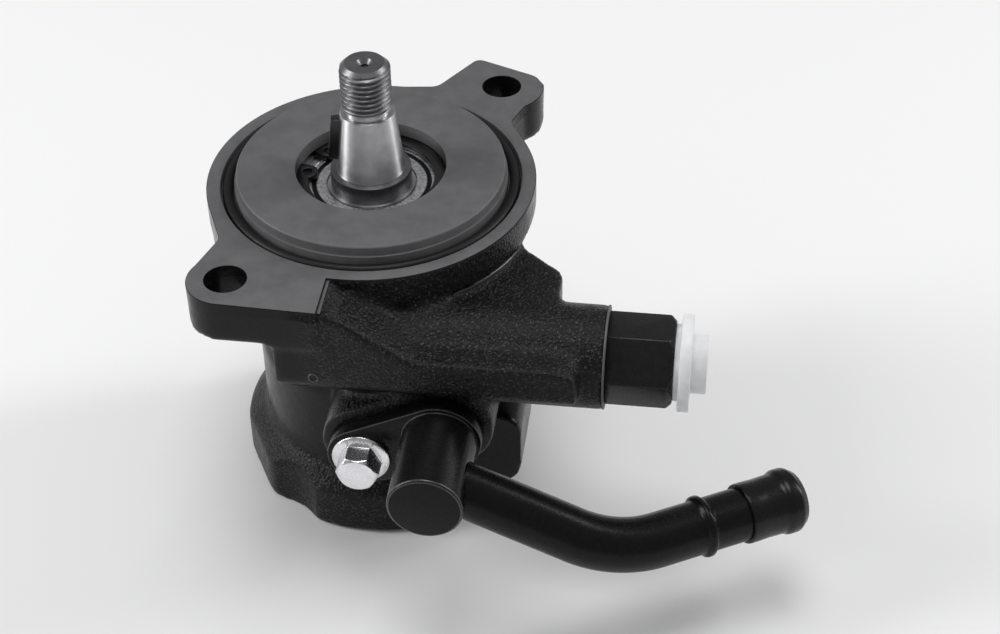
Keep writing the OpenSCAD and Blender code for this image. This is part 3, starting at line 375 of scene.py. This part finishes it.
# %% The other finishes
GROUND_STEEL = steel(
    "ground_steel", 0.54, 0.33, (0.2, 0.2, 4), 0.004, Anisotropic=0.9, Anisotropic_Rotation=0.25)
THREAD_STEEL = steel("thread_steel", 0.2, 0.38, depth=0.01)
COLLAR_STEEL = steel("collar_steel", 0.15, 0.4)
DARK_STEEL = steel("dark_steel", 0.06, 0.34)
ZINC = steel("zinc_plate", 0.74, 0.26, (1, 1, 1), 0.012, 0.08)
SINTERED = steel("sintered_iron", 0.22, 0.5, (1, 1, 1), 0.02)
BRONZE = steel("bearing_bronze", 0.4, 0.3)
TUBE_BLACK = paint("tube_black_paint", 0.004, 0.27, specular=0.17)
UNION_BLACK = paint("union_black_paint", 0.0045, 0.27, 0.02, 0.14)
HEX_BLACK = paint("hex_black_paint", 0.008, 0.3, 0.02, 0.26)
# A lighter, glossier black: a painted highlight for the elbow's rounded edges, the web seam and the
# core mark.
HIGHLIGHT_EDGE_BLACK = paint("painted_highlight_black", 0.035, 0.25, 0.02, 0.5)
CAP_BLACK = moulded("cap_black_plastic", grey(0.0045), 0.28, specular=0.25)
PLUG_WHITE = moulded("plug_white_plastic", (0.78, 0.79, 0.8), 0.42)
RUBBER = moulded("seal_rubber", grey(0.006), 0.45, 0.03, 0.25)
print("finishes:", len(bpy.data.materials))

# %% [markdown]
# ## Making a piece
# Each new piece is a mesh in the row frame. It gets smooth shading that breaks at sharp edges,
# rides on the CAD body it belongs to, takes its finishes as material slots, and hides the CAD nodes
# it stands for.

# %% From mesh to piece
SHARP_SHADE = math.radians(32)
SHARP_EDGE = math.radians(30)
FLAT_ENOUGH = math.radians(0.6)
SAME_PLACE = 1e-6


def piece(name, mesh, body, finishes, stands_for=()):
    """Makes the mesh a piece on a body. A body given as (first, second, start, end) is not used,
    and the mesh is only fixed in place.
    """
    for finish in finishes:
        mesh.materials.append(finish)
    mesh.shade_smooth()
    mesh.set_sharp_from_angle(angle=SHARP_SHADE)
    made = bpy.data.objects.new(name, mesh)
    bpy.context.scene.collection.objects.link(made)
    if isinstance(body, str):
        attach(made, body)
    else:
        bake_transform(made)
    if stands_for:
        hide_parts(*stands_for)
    print(f"{name}: {len(mesh.polygons)} faces")


def mesh_from(name, points, faces, marks=None):
    """A mesh from points in millimetres, with a finish number for each face."""
    mesh = bpy.data.meshes.new(name)
    mesh.from_pydata([tuple(p) for p in np.asarray(points, float) * MM], [], faces)
    if marks is not None:
        mesh.polygons.foreach_set("material_index", np.asarray(marks, np.int32))
    mesh.update()
    return mesh


def welded(node):
    """The CAD node's own mesh, with shared points made one and flat faces joined up."""
    shape = bmesh.new()
    shape.from_mesh(frame["nodes"][node].data)
    bmesh.ops.remove_doubles(shape, verts=shape.verts, dist=SAME_PLACE)
    bmesh.ops.dissolve_limit(
        shape, angle_limit=FLAT_ENOUGH, verts=shape.verts, edges=shape.edges)
    return shape


def to_mesh(shape, name):
    mesh = bpy.data.meshes.new(name)
    shape.to_mesh(mesh)
    shape.free()
    return mesh


def round_edges(shape, width, keep=None, mark=-1):
    """Rounds every sharp edge over width millimetres, and can mark the rounding with a finish."""
    edges = [
        e for e in shape.edges
        if len(e.link_faces) == 2 and e.calc_face_angle(0) > SHARP_EDGE and (not keep or keep(e))]
    bmesh.ops.bevel(
        shape, geom=edges, offset=width * MM, offset_type="OFFSET", segments=2, profile=0.5,
        affect="EDGES", clamp_overlap=False, material=mark)
    return len(edges)


print("pieces ride, take a slot and stand for their nodes")

# %% [markdown]
# ## The casting
# A casting has no sharp edges except where a tool has cut it. Bevelling the edges where a dozen
# solids meet is hopeless, so the whole housing is rebuilt from small voxels and smoothed, which
# rounds every edge and fills every inner corner in the way that moulding sand does. The top, which
# is machined, is cut off level and put back from the CAD mesh with its crisp edges.

# %% Voxels, smoothed
VOXEL = 1.0
SMOOTH_ROUNDS = 4
CUT_LEVEL = -3.2
NEAR_CUT = 1.5
SHARE, SHARE_NEAR_CUT = 0.55, 0.25


def voxel_copy(node, size):
    """The node's mesh rebuilt from voxels of that size in millimetres."""
    holder = bpy.data.objects.new("voxel_holder", to_mesh(welded(node), "voxel_source"))
    bpy.context.scene.collection.objects.link(holder)
    remesh = holder.modifiers.new("voxels", "REMESH")
    remesh.mode = "VOXEL"
    remesh.voxel_size = size * MM
    bpy.context.view_layer.update()
    graph = bpy.context.evaluated_depsgraph_get()
    mesh = bpy.data.meshes.new_from_object(holder.evaluated_get(graph))
    bpy.data.objects.remove(holder)
    return mesh


def places(mesh):
    found = np.empty(len(mesh.vertices) * 3, np.float32)
    mesh.vertices.foreach_get("co", found)
    return found.reshape(-1, 3).astype(float) / MM


def smooth(mesh, rounds, share):
    """Moves each point towards the middle of its neighbours, by its own share."""
    points = places(mesh)
    total = len(points)
    edges = np.empty(len(mesh.edges) * 2, np.int32)
    mesh.edges.foreach_get("vertices", edges)
    one, two = edges.reshape(-1, 2).T
    count = np.bincount(edges, minlength=total).clip(1)
    for _ in range(rounds):
        middle = np.stack([
            np.bincount(one, points[two, k], total) + np.bincount(two, points[one, k], total)
            for k in range(3)], 1) / count[:, None]
        points += (middle - points) * share[:, None]
    return points


casting = voxel_copy("front_housing", VOXEL)
before = places(casting)
edge_share = np.where(before[:, 2] > CUT_LEVEL - NEAR_CUT, SHARE_NEAR_CUT, SHARE)
after = smooth(casting, SMOOTH_ROUNDS, edge_share)
casting.vertices.foreach_set("co", (after * MM).astype(np.float32).ravel())
largest = float(np.abs(after - before).max())
print("casting points:", len(after), "largest move, mm:", round(largest, 2))

# %% [markdown]
# The machined top is the CAD mesh above the cut level. Its walls stay black and its upward faces,
# the pilot and the bores are grey, so each face takes a finish by where it looks and how far it is
# from the shaft.

# %% The machined top put back
GROOVE_R = 42.1
TOP_ROUND = 0.16
LOOKS_UP = 0.95
CUT_MARGIN = 0.3


def cut_level(shape, keep_above):
    cut = bmesh.ops.bisect_plane(
        shape, geom=[*shape.verts, *shape.edges, *shape.faces], plane_co=(0, 0, CUT_LEVEL * MM),
        plane_no=(0, 0, 1), clear_inner=keep_above, clear_outer=not keep_above)
    rim = [e for e in cut["geom_cut"] if isinstance(e, bmesh.types.BMEdge)]
    bmesh.ops.triangle_fill(shape, edges=rim, use_beauty=True)
    bmesh.ops.recalc_face_normals(shape, faces=shape.faces)


def is_machined(face):
    centre = face.calc_center_median() / MM
    return face.normal.z > LOOKS_UP or centre.xy.length < GROOVE_R + 0.1


def above_cut(edge):
    return min(v.co.z for v in edge.verts) > (CUT_LEVEL + CUT_MARGIN) * MM


top = welded("front_housing")
cut_level(top, True)
rounded = round_edges(top, TOP_ROUND, keep=above_cut)
for face in top.faces:
    face.material_index = int(is_machined(face))
body = bmesh.new()
body.from_mesh(casting)
cut_level(body, False)
body.from_mesh(to_mesh(top, "machined_top"))
housing_mesh = to_mesh(body, "housing_casting")
bpy.data.meshes.remove(casting)
piece(
    "housing_casting", housing_mesh, "housing", [CAST_BLACK, MACHINED_GREY],
    ["front_housing"])
print("machined edges rounded:", rounded)

# %% [markdown]
# ## The shaft
# The shaft is turned, so its mesh is turned too: rings of points along the axis. Where the thread
# is, each ring's radius also depends on the angle, which winds the groove round the axis once in
# every 1.5 mm.

# %% Turning and threading
TURNS = 96
THREAD_FROM, THREAD_TO, THREAD_STEP = 24.6, 37.8, 0.11
THREAD_PITCH, THREAD_R, THREAD_DEPTH, THREAD_CHAMFER = 1.5, 7.0, 0.85, 1.5
RUN_OUT = 1.0
FLANK_SLOPE, ROOT_FLAT = 1.35, 0.12


def thread_radius(height, angle):
    """Radius of the threaded end, with run-out at its foot and the end chamfer."""
    phase = (height / THREAD_PITCH - angle / (2 * np.pi)) % 1
    flank = np.clip(FLANK_SLOPE * np.abs(2 * phase - 1) - ROOT_FLAT, 0, 1)
    run_out = np.clip((height - THREAD_FROM) / RUN_OUT, 0, 1)
    groove = THREAD_R - THREAD_DEPTH * (1 - flank) * run_out
    chamfer = THREAD_R - np.clip(height - (THREAD_TO - THREAD_CHAMFER), 0, THREAD_CHAMFER)
    return np.minimum(groove, chamfer)


def turned(rings, finishes=None, closed=False):
    """Points, faces and marks of a turned shape. A ring is (radius or radii, height)."""
    points, rows = [], []
    around = np.linspace(0, 2 * np.pi, TURNS, endpoint=False)
    for radius, height in rings:
        if np.ndim(radius) == 0 and radius == 0:
            rows.append([len(points)])
            points.append((0, 0, height))
        else:
            rows.append(list(range(len(points), len(points) + TURNS)))
            points += list(zip(radius * np.cos(around), radius * np.sin(around), [height] * TURNS))
    faces, marks = [], []
    pairs = list(zip(rows, rows[1:])) + ([(rows[-1], rows[0])] if closed else [])
    for k, (low, high) in enumerate(pairs):
        for i in range(TURNS):
            j = (i + 1) % TURNS
            ring = [
                low[i % len(low)], low[j % len(low)], high[j % len(high)], high[i % len(high)]]
            faces.append(list(dict.fromkeys(ring)))
            marks.append(finishes[k] if finishes else 0)
    return points, faces, marks


def eased(line, size, steps=3):
    """The same line of points with its inner corners rounded over size."""
    line = [np.array(p, float) for p in line]
    made = [line[0]]
    for a, b, c in zip(line, line[1:], line[2:]):
        one = b + (a - b) * min(size / np.linalg.norm(a - b), 0.45)
        two = b + (c - b) * min(size / np.linalg.norm(c - b), 0.45)
        for t in np.linspace(0, 1, steps):
            made.append((1 - t) ** 2 * one + 2 * t * (1 - t) * b + t * t * two)
    return [tuple(p) for p in made + [line[-1]]]


print("thread of", THREAD_PITCH, "mm pitch")

# %% The shaft's own line
SHAFT_FOOT, SPLINE_TOP, SPLINE_R, JOURNAL_R = -69.0, -41.1, 7.0, 10.0
COLLAR_R, COLLAR_FROM, COLLAR_TO = 11.3, -1.5, 3.8
TAPER_FROM, TAPER_TO, TAPER_FOOT_R, TAPER_TOP_R = 4.2, 22.4, 9.6, 7.5
NECK_R, NECK_FROM, NECK_TO = 6.15, 22.5, 24.2
END_R, CENTRE_MOUTH_R, CENTRE_R = 5.4, 2.2, 1.2
GROUND, THREADED, COLLAR = 0, 1, 2
lower = eased([
    (0, SHAFT_FOOT), (SPLINE_R, SHAFT_FOOT), (SPLINE_R, SPLINE_TOP), (JOURNAL_R, SPLINE_TOP),
    (JOURNAL_R, COLLAR_FROM), (COLLAR_R, COLLAR_FROM), (COLLAR_R, COLLAR_TO),
    (TAPER_FOOT_R, COLLAR_TO), (9.75, TAPER_FROM)], 0.25)
taper = eased([
    (TAPER_FOOT_R, TAPER_FROM), (TAPER_TOP_R, TAPER_TO), (NECK_R, NECK_FROM), (NECK_R, NECK_TO),
    (6.3, 24.5)], 0.2)
angles = np.linspace(0, 2 * np.pi, TURNS, endpoint=False)
thread = [
    (thread_radius(h, angles), h) for h in np.arange(THREAD_FROM, THREAD_TO + 0.01, THREAD_STEP)]
end = [
    (END_R, THREAD_TO), (CENTRE_MOUTH_R, THREAD_TO), (CENTRE_R, THREAD_TO - 1.3),
    (CENTRE_R, THREAD_TO - 3), (0, THREAD_TO - 3.4)]
rings = lower[:-1] + taper + thread + end
marks = [COLLAR] * (len(lower) - 2) + [GROUND] * (len(taper) - 3)
marks += [THREADED] * (len(rings) - 1 - len(marks))
points, faces, marks = turned(rings, marks)
piece(
    "threaded_shaft", mesh_from("threaded_shaft", points, faces, marks), "shaft",
    [GROUND_STEEL, THREAD_STEEL, COLLAR_STEEL], ["drive_shaft"])

# %% [markdown]
# ## The suction tube and its cap
# The tube is drawn and bent, so it is one skin swept along a path of two straight legs and an arc.
# The path is drawn in the tube's own plane and then turned into place. Its radius swells where the
# stop bead is rolled. The cap is turned on the line of the second leg.

# %% The tube's path
UNION_AXIS = Vector((26.7, -73.0, -42.5))
DIP, YAW, ROLL, TURN = (math.radians(a) for a in (22.7, -2.8, 26.0, 38.8))
FIRST_LEG, SECOND_LEG, BEND_R = 53.7, 53.9, 36.0
TUBE_START = 7.2
FIRST_ROWS, BEND_ROWS, TUBE_STEP = 24, 34, 0.4
TUBE_FRAME = (
    Matrix.Translation(UNION_AXIS) @ Matrix.Rotation(YAW, 4, "Z") @ Matrix.Rotation(DIP, 4, "Y")
    @ Matrix.Rotation(ROLL, 4, "X"))


def heading(angle):
    return np.array([math.cos(angle), math.sin(angle), 0.0])


corner = heading(0) * FIRST_LEG
tangent = BEND_R * math.tan(TURN / 2)


def tube_path():
    """(place, heading, distance past the corner, or None before it) along the tube's plane."""
    first = np.linspace(TUBE_START, FIRST_LEG - tangent, FIRST_ROWS)
    path = [(heading(0) * d, heading(0), None) for d in first]
    centre = corner + heading(TURN) * tangent + heading(TURN + math.pi / 2) * BEND_R
    for a in np.linspace(0, TURN, BEND_ROWS)[1:-1]:
        path.append((centre - heading(a + math.pi / 2) * BEND_R, heading(a), None))
    for d in np.arange(tangent, SECOND_LEG + TUBE_STEP, TUBE_STEP):
        path.append((corner + heading(TURN) * d, heading(TURN), d))
    return path


path = tube_path()
print("rows along the tube:", len(path))

# %% Sweeping the tube
TUBE_R, TUBE_WALL = 7.5, 1.2
BEAD_AT, BEAD_H, BEAD_HALF = 25.8, 1.1, 1.25
TUBE_SIDES = 48


def bead(distance):
    """Height of the stop bead, a rolled hump."""
    if distance is None:
        return 0.0
    return BEAD_H * math.exp(-((distance - BEAD_AT) / BEAD_HALF) ** 4)


def swept(path, radius_of, sides=TUBE_SIDES):
    around = np.linspace(0, 2 * np.pi, sides, endpoint=False)
    points = []
    for place, way, distance in path:
        side, rise = np.array([-way[1], way[0], 0.0]), np.array([0, 0, 1.0])
        r = radius_of(distance)
        points += [place + r * (math.cos(a) * side + math.sin(a) * rise) for a in around]
    return np.array(points)


def skin(rows, sides=TUBE_SIDES, ring=True):
    """Faces between rows. In a ring the last row joins the first, else both ends are closed."""
    faces = []
    for k in range(rows if ring else rows - 1):
        this, after_this = k * sides, (k + 1) % rows * sides
        for i in range(sides):
            j = (i + 1) % sides
            faces.append([this + i, this + j, after_this + j, after_this + i])
    if not ring:
        faces += [list(range(sides))[::-1], list(range((rows - 1) * sides, rows * sides))]
    return faces


outer = swept(path, lambda d: TUBE_R + bead(d))
inner = swept(path[::-1], lambda d: TUBE_R - TUBE_WALL)
tube = [TUBE_FRAME @ Vector(p) for p in np.vstack([outer, inner])]
piece(
    "bent_suction_tube", mesh_from("bent_suction_tube", tube, skin(2 * len(path))), "housing",
    [TUBE_BLACK], ["suction_tube"])

# %% The cap on the tube's end
CAP_LEN, CAP_COVER, CAP_INNER, CAP_OUTER, CAP_BULGE = 17.5, 15.9, 7.55, 8.45, 0.75
CAP_SWELL = CAP_OUTER + CAP_BULGE
cap_wall = eased([
    (CAP_INNER, 0), (CAP_OUTER, 0), (CAP_OUTER, 3.0), (CAP_OUTER - 0.12, 6.0),
    (CAP_OUTER, CAP_LEN - 6.6), (CAP_SWELL, CAP_LEN - 5.2), (CAP_SWELL, CAP_LEN - 2.4),
    (CAP_OUTER - 0.1, CAP_LEN - 1.2), (CAP_OUTER - 0.9, CAP_LEN), (0, CAP_LEN)], 0.7, 5)
cap_line = [(0, CAP_COVER), (CAP_INNER, CAP_COVER), (CAP_INNER, 0)] + cap_wall[1:]
points, faces, _ = turned(cap_line)
cap_foot = corner + heading(TURN) * (SECOND_LEG - CAP_COVER)
leg = TUBE_FRAME @ Matrix.Translation(Vector(cap_foot))
leg = leg @ Matrix.Rotation(TURN, 4, "Z") @ Matrix.Rotation(math.pi / 2, 4, "Y")
cap_points = [leg @ Vector(p) for p in points]
piece(
    "tube_cap", mesh_from("tube_cap", cap_points, faces), "housing", [CAP_BLACK],
    ["suction_cap"])

# %% [markdown]
# ## Turned and pressed pieces from the CAD mesh
# The unions, the plug, the bolt, the clips, the cover and the key already have the right form. They
# only need the small rounding that any real edge has, because it is that rounding which catches the
# light. The suction elbow's rounding also takes a lighter black, a painted highlight.

# %% Edges that catch the light
ROUNDED = [
    ("hex_union", "pressure_port_union", "housing", "union_black", [HEX_BLACK], 0.3),
    # the elbow's rounding takes the lighter black, a painted highlight
    ("suction_elbow", "suction_union", "housing", "union_black", [UNION_BLACK, HIGHLIGHT_EDGE_BLACK], 0.25),
    ("port_plug", "shipping_plug", "housing", "plug_white", [PLUG_WHITE], 0.3),
    ("flange_bolt", "suction_bolt", "housing", "zinc", [ZINC], 0.25),
    ("bearing_clip", "bearing_snap_ring", "housing", "spring_steel", [DARK_STEEL], 0.15),
    ("cover_clip", "cover_snap_ring", "housing", "spring_steel", [DARK_STEEL], 0.2),
    ("rear_closing_cover", "rear_cover", "housing", "sintered_iron", [SINTERED], 0.4),
    ("taper_key", "woodruff_key", "shaft", "spring_steel", [DARK_STEEL], 0.2),
]
for name, node, rides_on, slot, finishes, width in ROUNDED:
    shape = welded(node)
    round_edges(shape, width, mark=len(finishes) - 1)
    piece(name, to_mesh(shape, name), rides_on, finishes, [node])

# %% [markdown]
# The spring behind the flow control valve is held by the housing at one end and by the valve at the
# other. Its mesh is fixed in place and rides on neither body.

# %% A spring between two bodies
SPRING_FOOT, SPRING_HEAD = (-0.012, -0.0398, -0.0255), (0.0337, -0.0398, -0.0255)
piece(
    "valve_spring", to_mesh(welded("flow_spring"), "valve_spring"),
    ("housing", "valve", SPRING_FOOT, SPRING_HEAD), [DARK_STEEL], ["flow_spring"])

# %% [markdown]
# The barrel's open end is spot-faced for the union's sealing ring. The cut leaves a thin bare ring
# there, and its grey also serves as a painted highlight along the mouth's edge.

# %% The bare ring at the barrel's mouth, also a painted highlight
MOUTH_INNER, MOUTH_OUTER, MOUTH_FROM, MOUTH_TO = 11.7, 14.15, 69.5, 70.05
VALVE_AXIS = Vector((0, -39.8, -25.5))
mouth_line = eased([
    (MOUTH_INNER, MOUTH_FROM), (MOUTH_OUTER, MOUTH_FROM), (MOUTH_OUTER, MOUTH_TO),
    (MOUTH_INNER, MOUTH_TO)], 0.2)
points, faces, _ = turned(mouth_line, closed=True)
along_x = Matrix.Translation(VALVE_AXIS) @ Matrix.Rotation(math.pi / 2, 4, "Y")
mouth_points = [along_x @ Vector(p) for p in points]
# the grey ring is partly a painted highlight on the mouth's edge
piece(
    "barrel_mouth", mesh_from("barrel_mouth", mouth_points, faces), "housing",
    [MACHINED_GREY])

# %% [markdown]
# Two marks of the mould are left on the casting: a seam where the web meets the flange, drawn as a
# bead that thins out at both ends, and the small ring of a core mark on the bar. Both take the
# lighter black of the painted highlight.

# %% The seam under the flange
SEAM_R, SEAM_Z, SEAM_H = 44.7, -11.4, 0.85
SEAM_FROM, SEAM_TO = math.radians(-60), math.radians(-14)
SEAM_ROWS, SEAM_SIDES, SEAM_TIP = 60, 16, 0.02
seam_path = []
for share in np.linspace(0, 1, SEAM_ROWS):
    angle = SEAM_FROM + (SEAM_TO - SEAM_FROM) * share
    seam_place = heading(angle) * SEAM_R + np.array([0, 0, SEAM_Z])
    seam_path.append((seam_place, heading(angle + math.pi / 2), share))


def seam_radius(share):
    return SEAM_H * max(math.sin(math.pi * share), SEAM_TIP) ** 0.5


seam_points = swept(seam_path, seam_radius, SEAM_SIDES)
seam_faces = skin(len(seam_path), SEAM_SIDES, False)
# the seam's lighter black is a painted highlight
piece(
    "web_seam", mesh_from("web_seam", seam_points, seam_faces), "housing",
    [HIGHLIGHT_EDGE_BLACK])

# %% The core mark on the bar
MARK_PLACE, MARK_R, MARK_H, MARK_SIDES = Vector((-6.35, -59.5, -23.1)), 1.25, 0.3, 12
mark_line = [
    (MARK_R + MARK_H * math.cos(a), MARK_H * math.sin(a))
    for a in np.linspace(0, 2 * math.pi, MARK_SIDES, endpoint=False)]
points, faces, _ = turned(mark_line, closed=True)
out_of_bar = Matrix.Translation(MARK_PLACE) @ Matrix.Rotation(math.pi / 2, 4, "X")
mark_points = [out_of_bar @ Vector(p) for p in points]
# the core mark's lighter black is a painted highlight
piece(
    "core_mark", mesh_from("core_mark", mark_points, faces), "housing", [HIGHLIGHT_EDGE_BLACK])

# %% [markdown]
# ## Finishes for the CAD nodes that stay
# Everything else keeps its CAD mesh: the rings, plates, vanes and bearing parts inside. Each takes
# the finish of its material slot, so that a pump taken apart looks right as well.

# %% Finishes by slot
BY_SLOT = {
    "bright_steel": GROUND_STEEL, "spring_steel": DARK_STEEL, "sintered_iron": SINTERED,
    "rubber": RUBBER, "bronze": BRONZE,
}
BY_NODE = {"bearing_shields": SHIELD_STEEL, "bearing_inner_ring": GROUND_STEEL}
dressed = 0
for part in frame["record"]["subparts"]:
    node = frame["nodes"][part["node"]]
    finish = BY_NODE.get(part["node"]) or BY_SLOT.get(part["material_slot"])
    if node.hide_render or finish is None:
        continue
    node.data.materials.clear()
    node.data.materials.append(finish)
    dressed += 1
print("CAD nodes dressed:", dressed)

# %% [markdown]
# ## Floor, light and camera
# The pump stands on its rear rim on a pale floor. A tall soft light on each side draws the bright
# bands on the shaft and body, and a wide one overhead lights the face. The lamps stand well away,
# so that the floor is evenly lit. The camera has the photograph's viewpoint and frames the whole
# pump.

# %% Floor
FLOOR_SIZE, FLOOR_GAP, FLOOR_TONE = 6.0, 0.00005, 0.86
floor_level = cad_low.z - FLOOR_GAP
half = FLOOR_SIZE / 2
floor_mesh = bpy.data.meshes.new("floor")
floor_mesh.from_pydata(
    [(-half, -half, floor_level), (half, -half, floor_level), (half, half, floor_level),
     (-half, half, floor_level)], [], [[0, 1, 2, 3]])
floor = bpy.data.objects.new("floor", floor_mesh)
bpy.context.scene.collection.objects.link(floor)
FLOOR_PALE, _, _ = start("floor_pale", (FLOOR_TONE,) * 3, 0.9, Specular_IOR_Level=0.1)
floor_mesh.materials.append(FLOOR_PALE)
print("floor at", round(floor_level / MM, 2), "mm")

# %% Lights
SKY_COLOR, SKY_STRENGTH = (0.9, 0.9, 0.92, 1), 0.34
LAMPS = [
    ("left_light", (-1.26, -0.2, 0.62), (0.38, 1.1), 11.8),
    ("right_light", (1.15, 0.45, 0.66), (0.26, 1.1), 8.0),
    ("top_light", (0.0, 0.0, 1.55), (0.8, 0.65), 9.8),
]
world = bpy.data.worlds.new("studio")
world.use_nodes = True
sky = world.node_tree.nodes["Background"]
sky.inputs["Color"].default_value = SKY_COLOR
sky.inputs["Strength"].default_value = SKY_STRENGTH
bpy.context.scene.world = world
bpy.context.scene.view_settings.view_transform = "Standard"
target = (cad_low + cad_high) / 2
for name, place, size, watts in LAMPS:
    lamp = bpy.data.lights.new(name, "AREA")
    lamp.shape = "RECTANGLE"
    lamp.size, lamp.size_y = size
    lamp.energy = watts
    softbox = bpy.data.objects.new(name, lamp)
    softbox.location = Vector(place)
    softbox.rotation_euler = (target - Vector(place)).to_track_quat("-Z", "Y").to_euler()
    bpy.context.scene.collection.objects.link(softbox)
    print(name, watts, "W")

# %% Camera
VIEW_AZIMUTH, VIEW_ELEVATION = math.radians(12.28), math.radians(35.84)
VIEW_ROLL, VIEW_DISTANCE = math.radians(-1.01), 574.0
AIM_RIGHT, AIM_DOWN = 33.4, 41.5
LENS, SENSOR = 73.7, 36.0
NEAREST, FARTHEST = 0.02, 20.0
right = Vector((math.cos(VIEW_AZIMUTH), math.sin(VIEW_AZIMUTH), 0))
back = Vector((
    math.sin(VIEW_AZIMUTH) * math.cos(VIEW_ELEVATION),
    -math.cos(VIEW_AZIMUTH) * math.cos(VIEW_ELEVATION),
    math.sin(VIEW_ELEVATION)))
up = back.cross(right)
eye = back * VIEW_DISTANCE * MM
aim = (right * AIM_RIGHT - up * AIM_DOWN) * MM
lens = bpy.data.cameras.new("camera")
lens.lens = LENS
lens.sensor_width = SENSOR
lens.clip_start, lens.clip_end = NEAREST, FARTHEST
camera = bpy.data.objects.new("camera", lens)
camera.location = eye
look = (aim - eye).to_track_quat("-Z", "Y").to_matrix().to_4x4()
camera.rotation_euler = (look @ Matrix.Rotation(VIEW_ROLL, 4, "Z")).to_euler()
bpy.context.scene.collection.objects.link(camera)
bpy.context.scene.camera = camera
print("camera at", [round(c, 4) for c in eye])
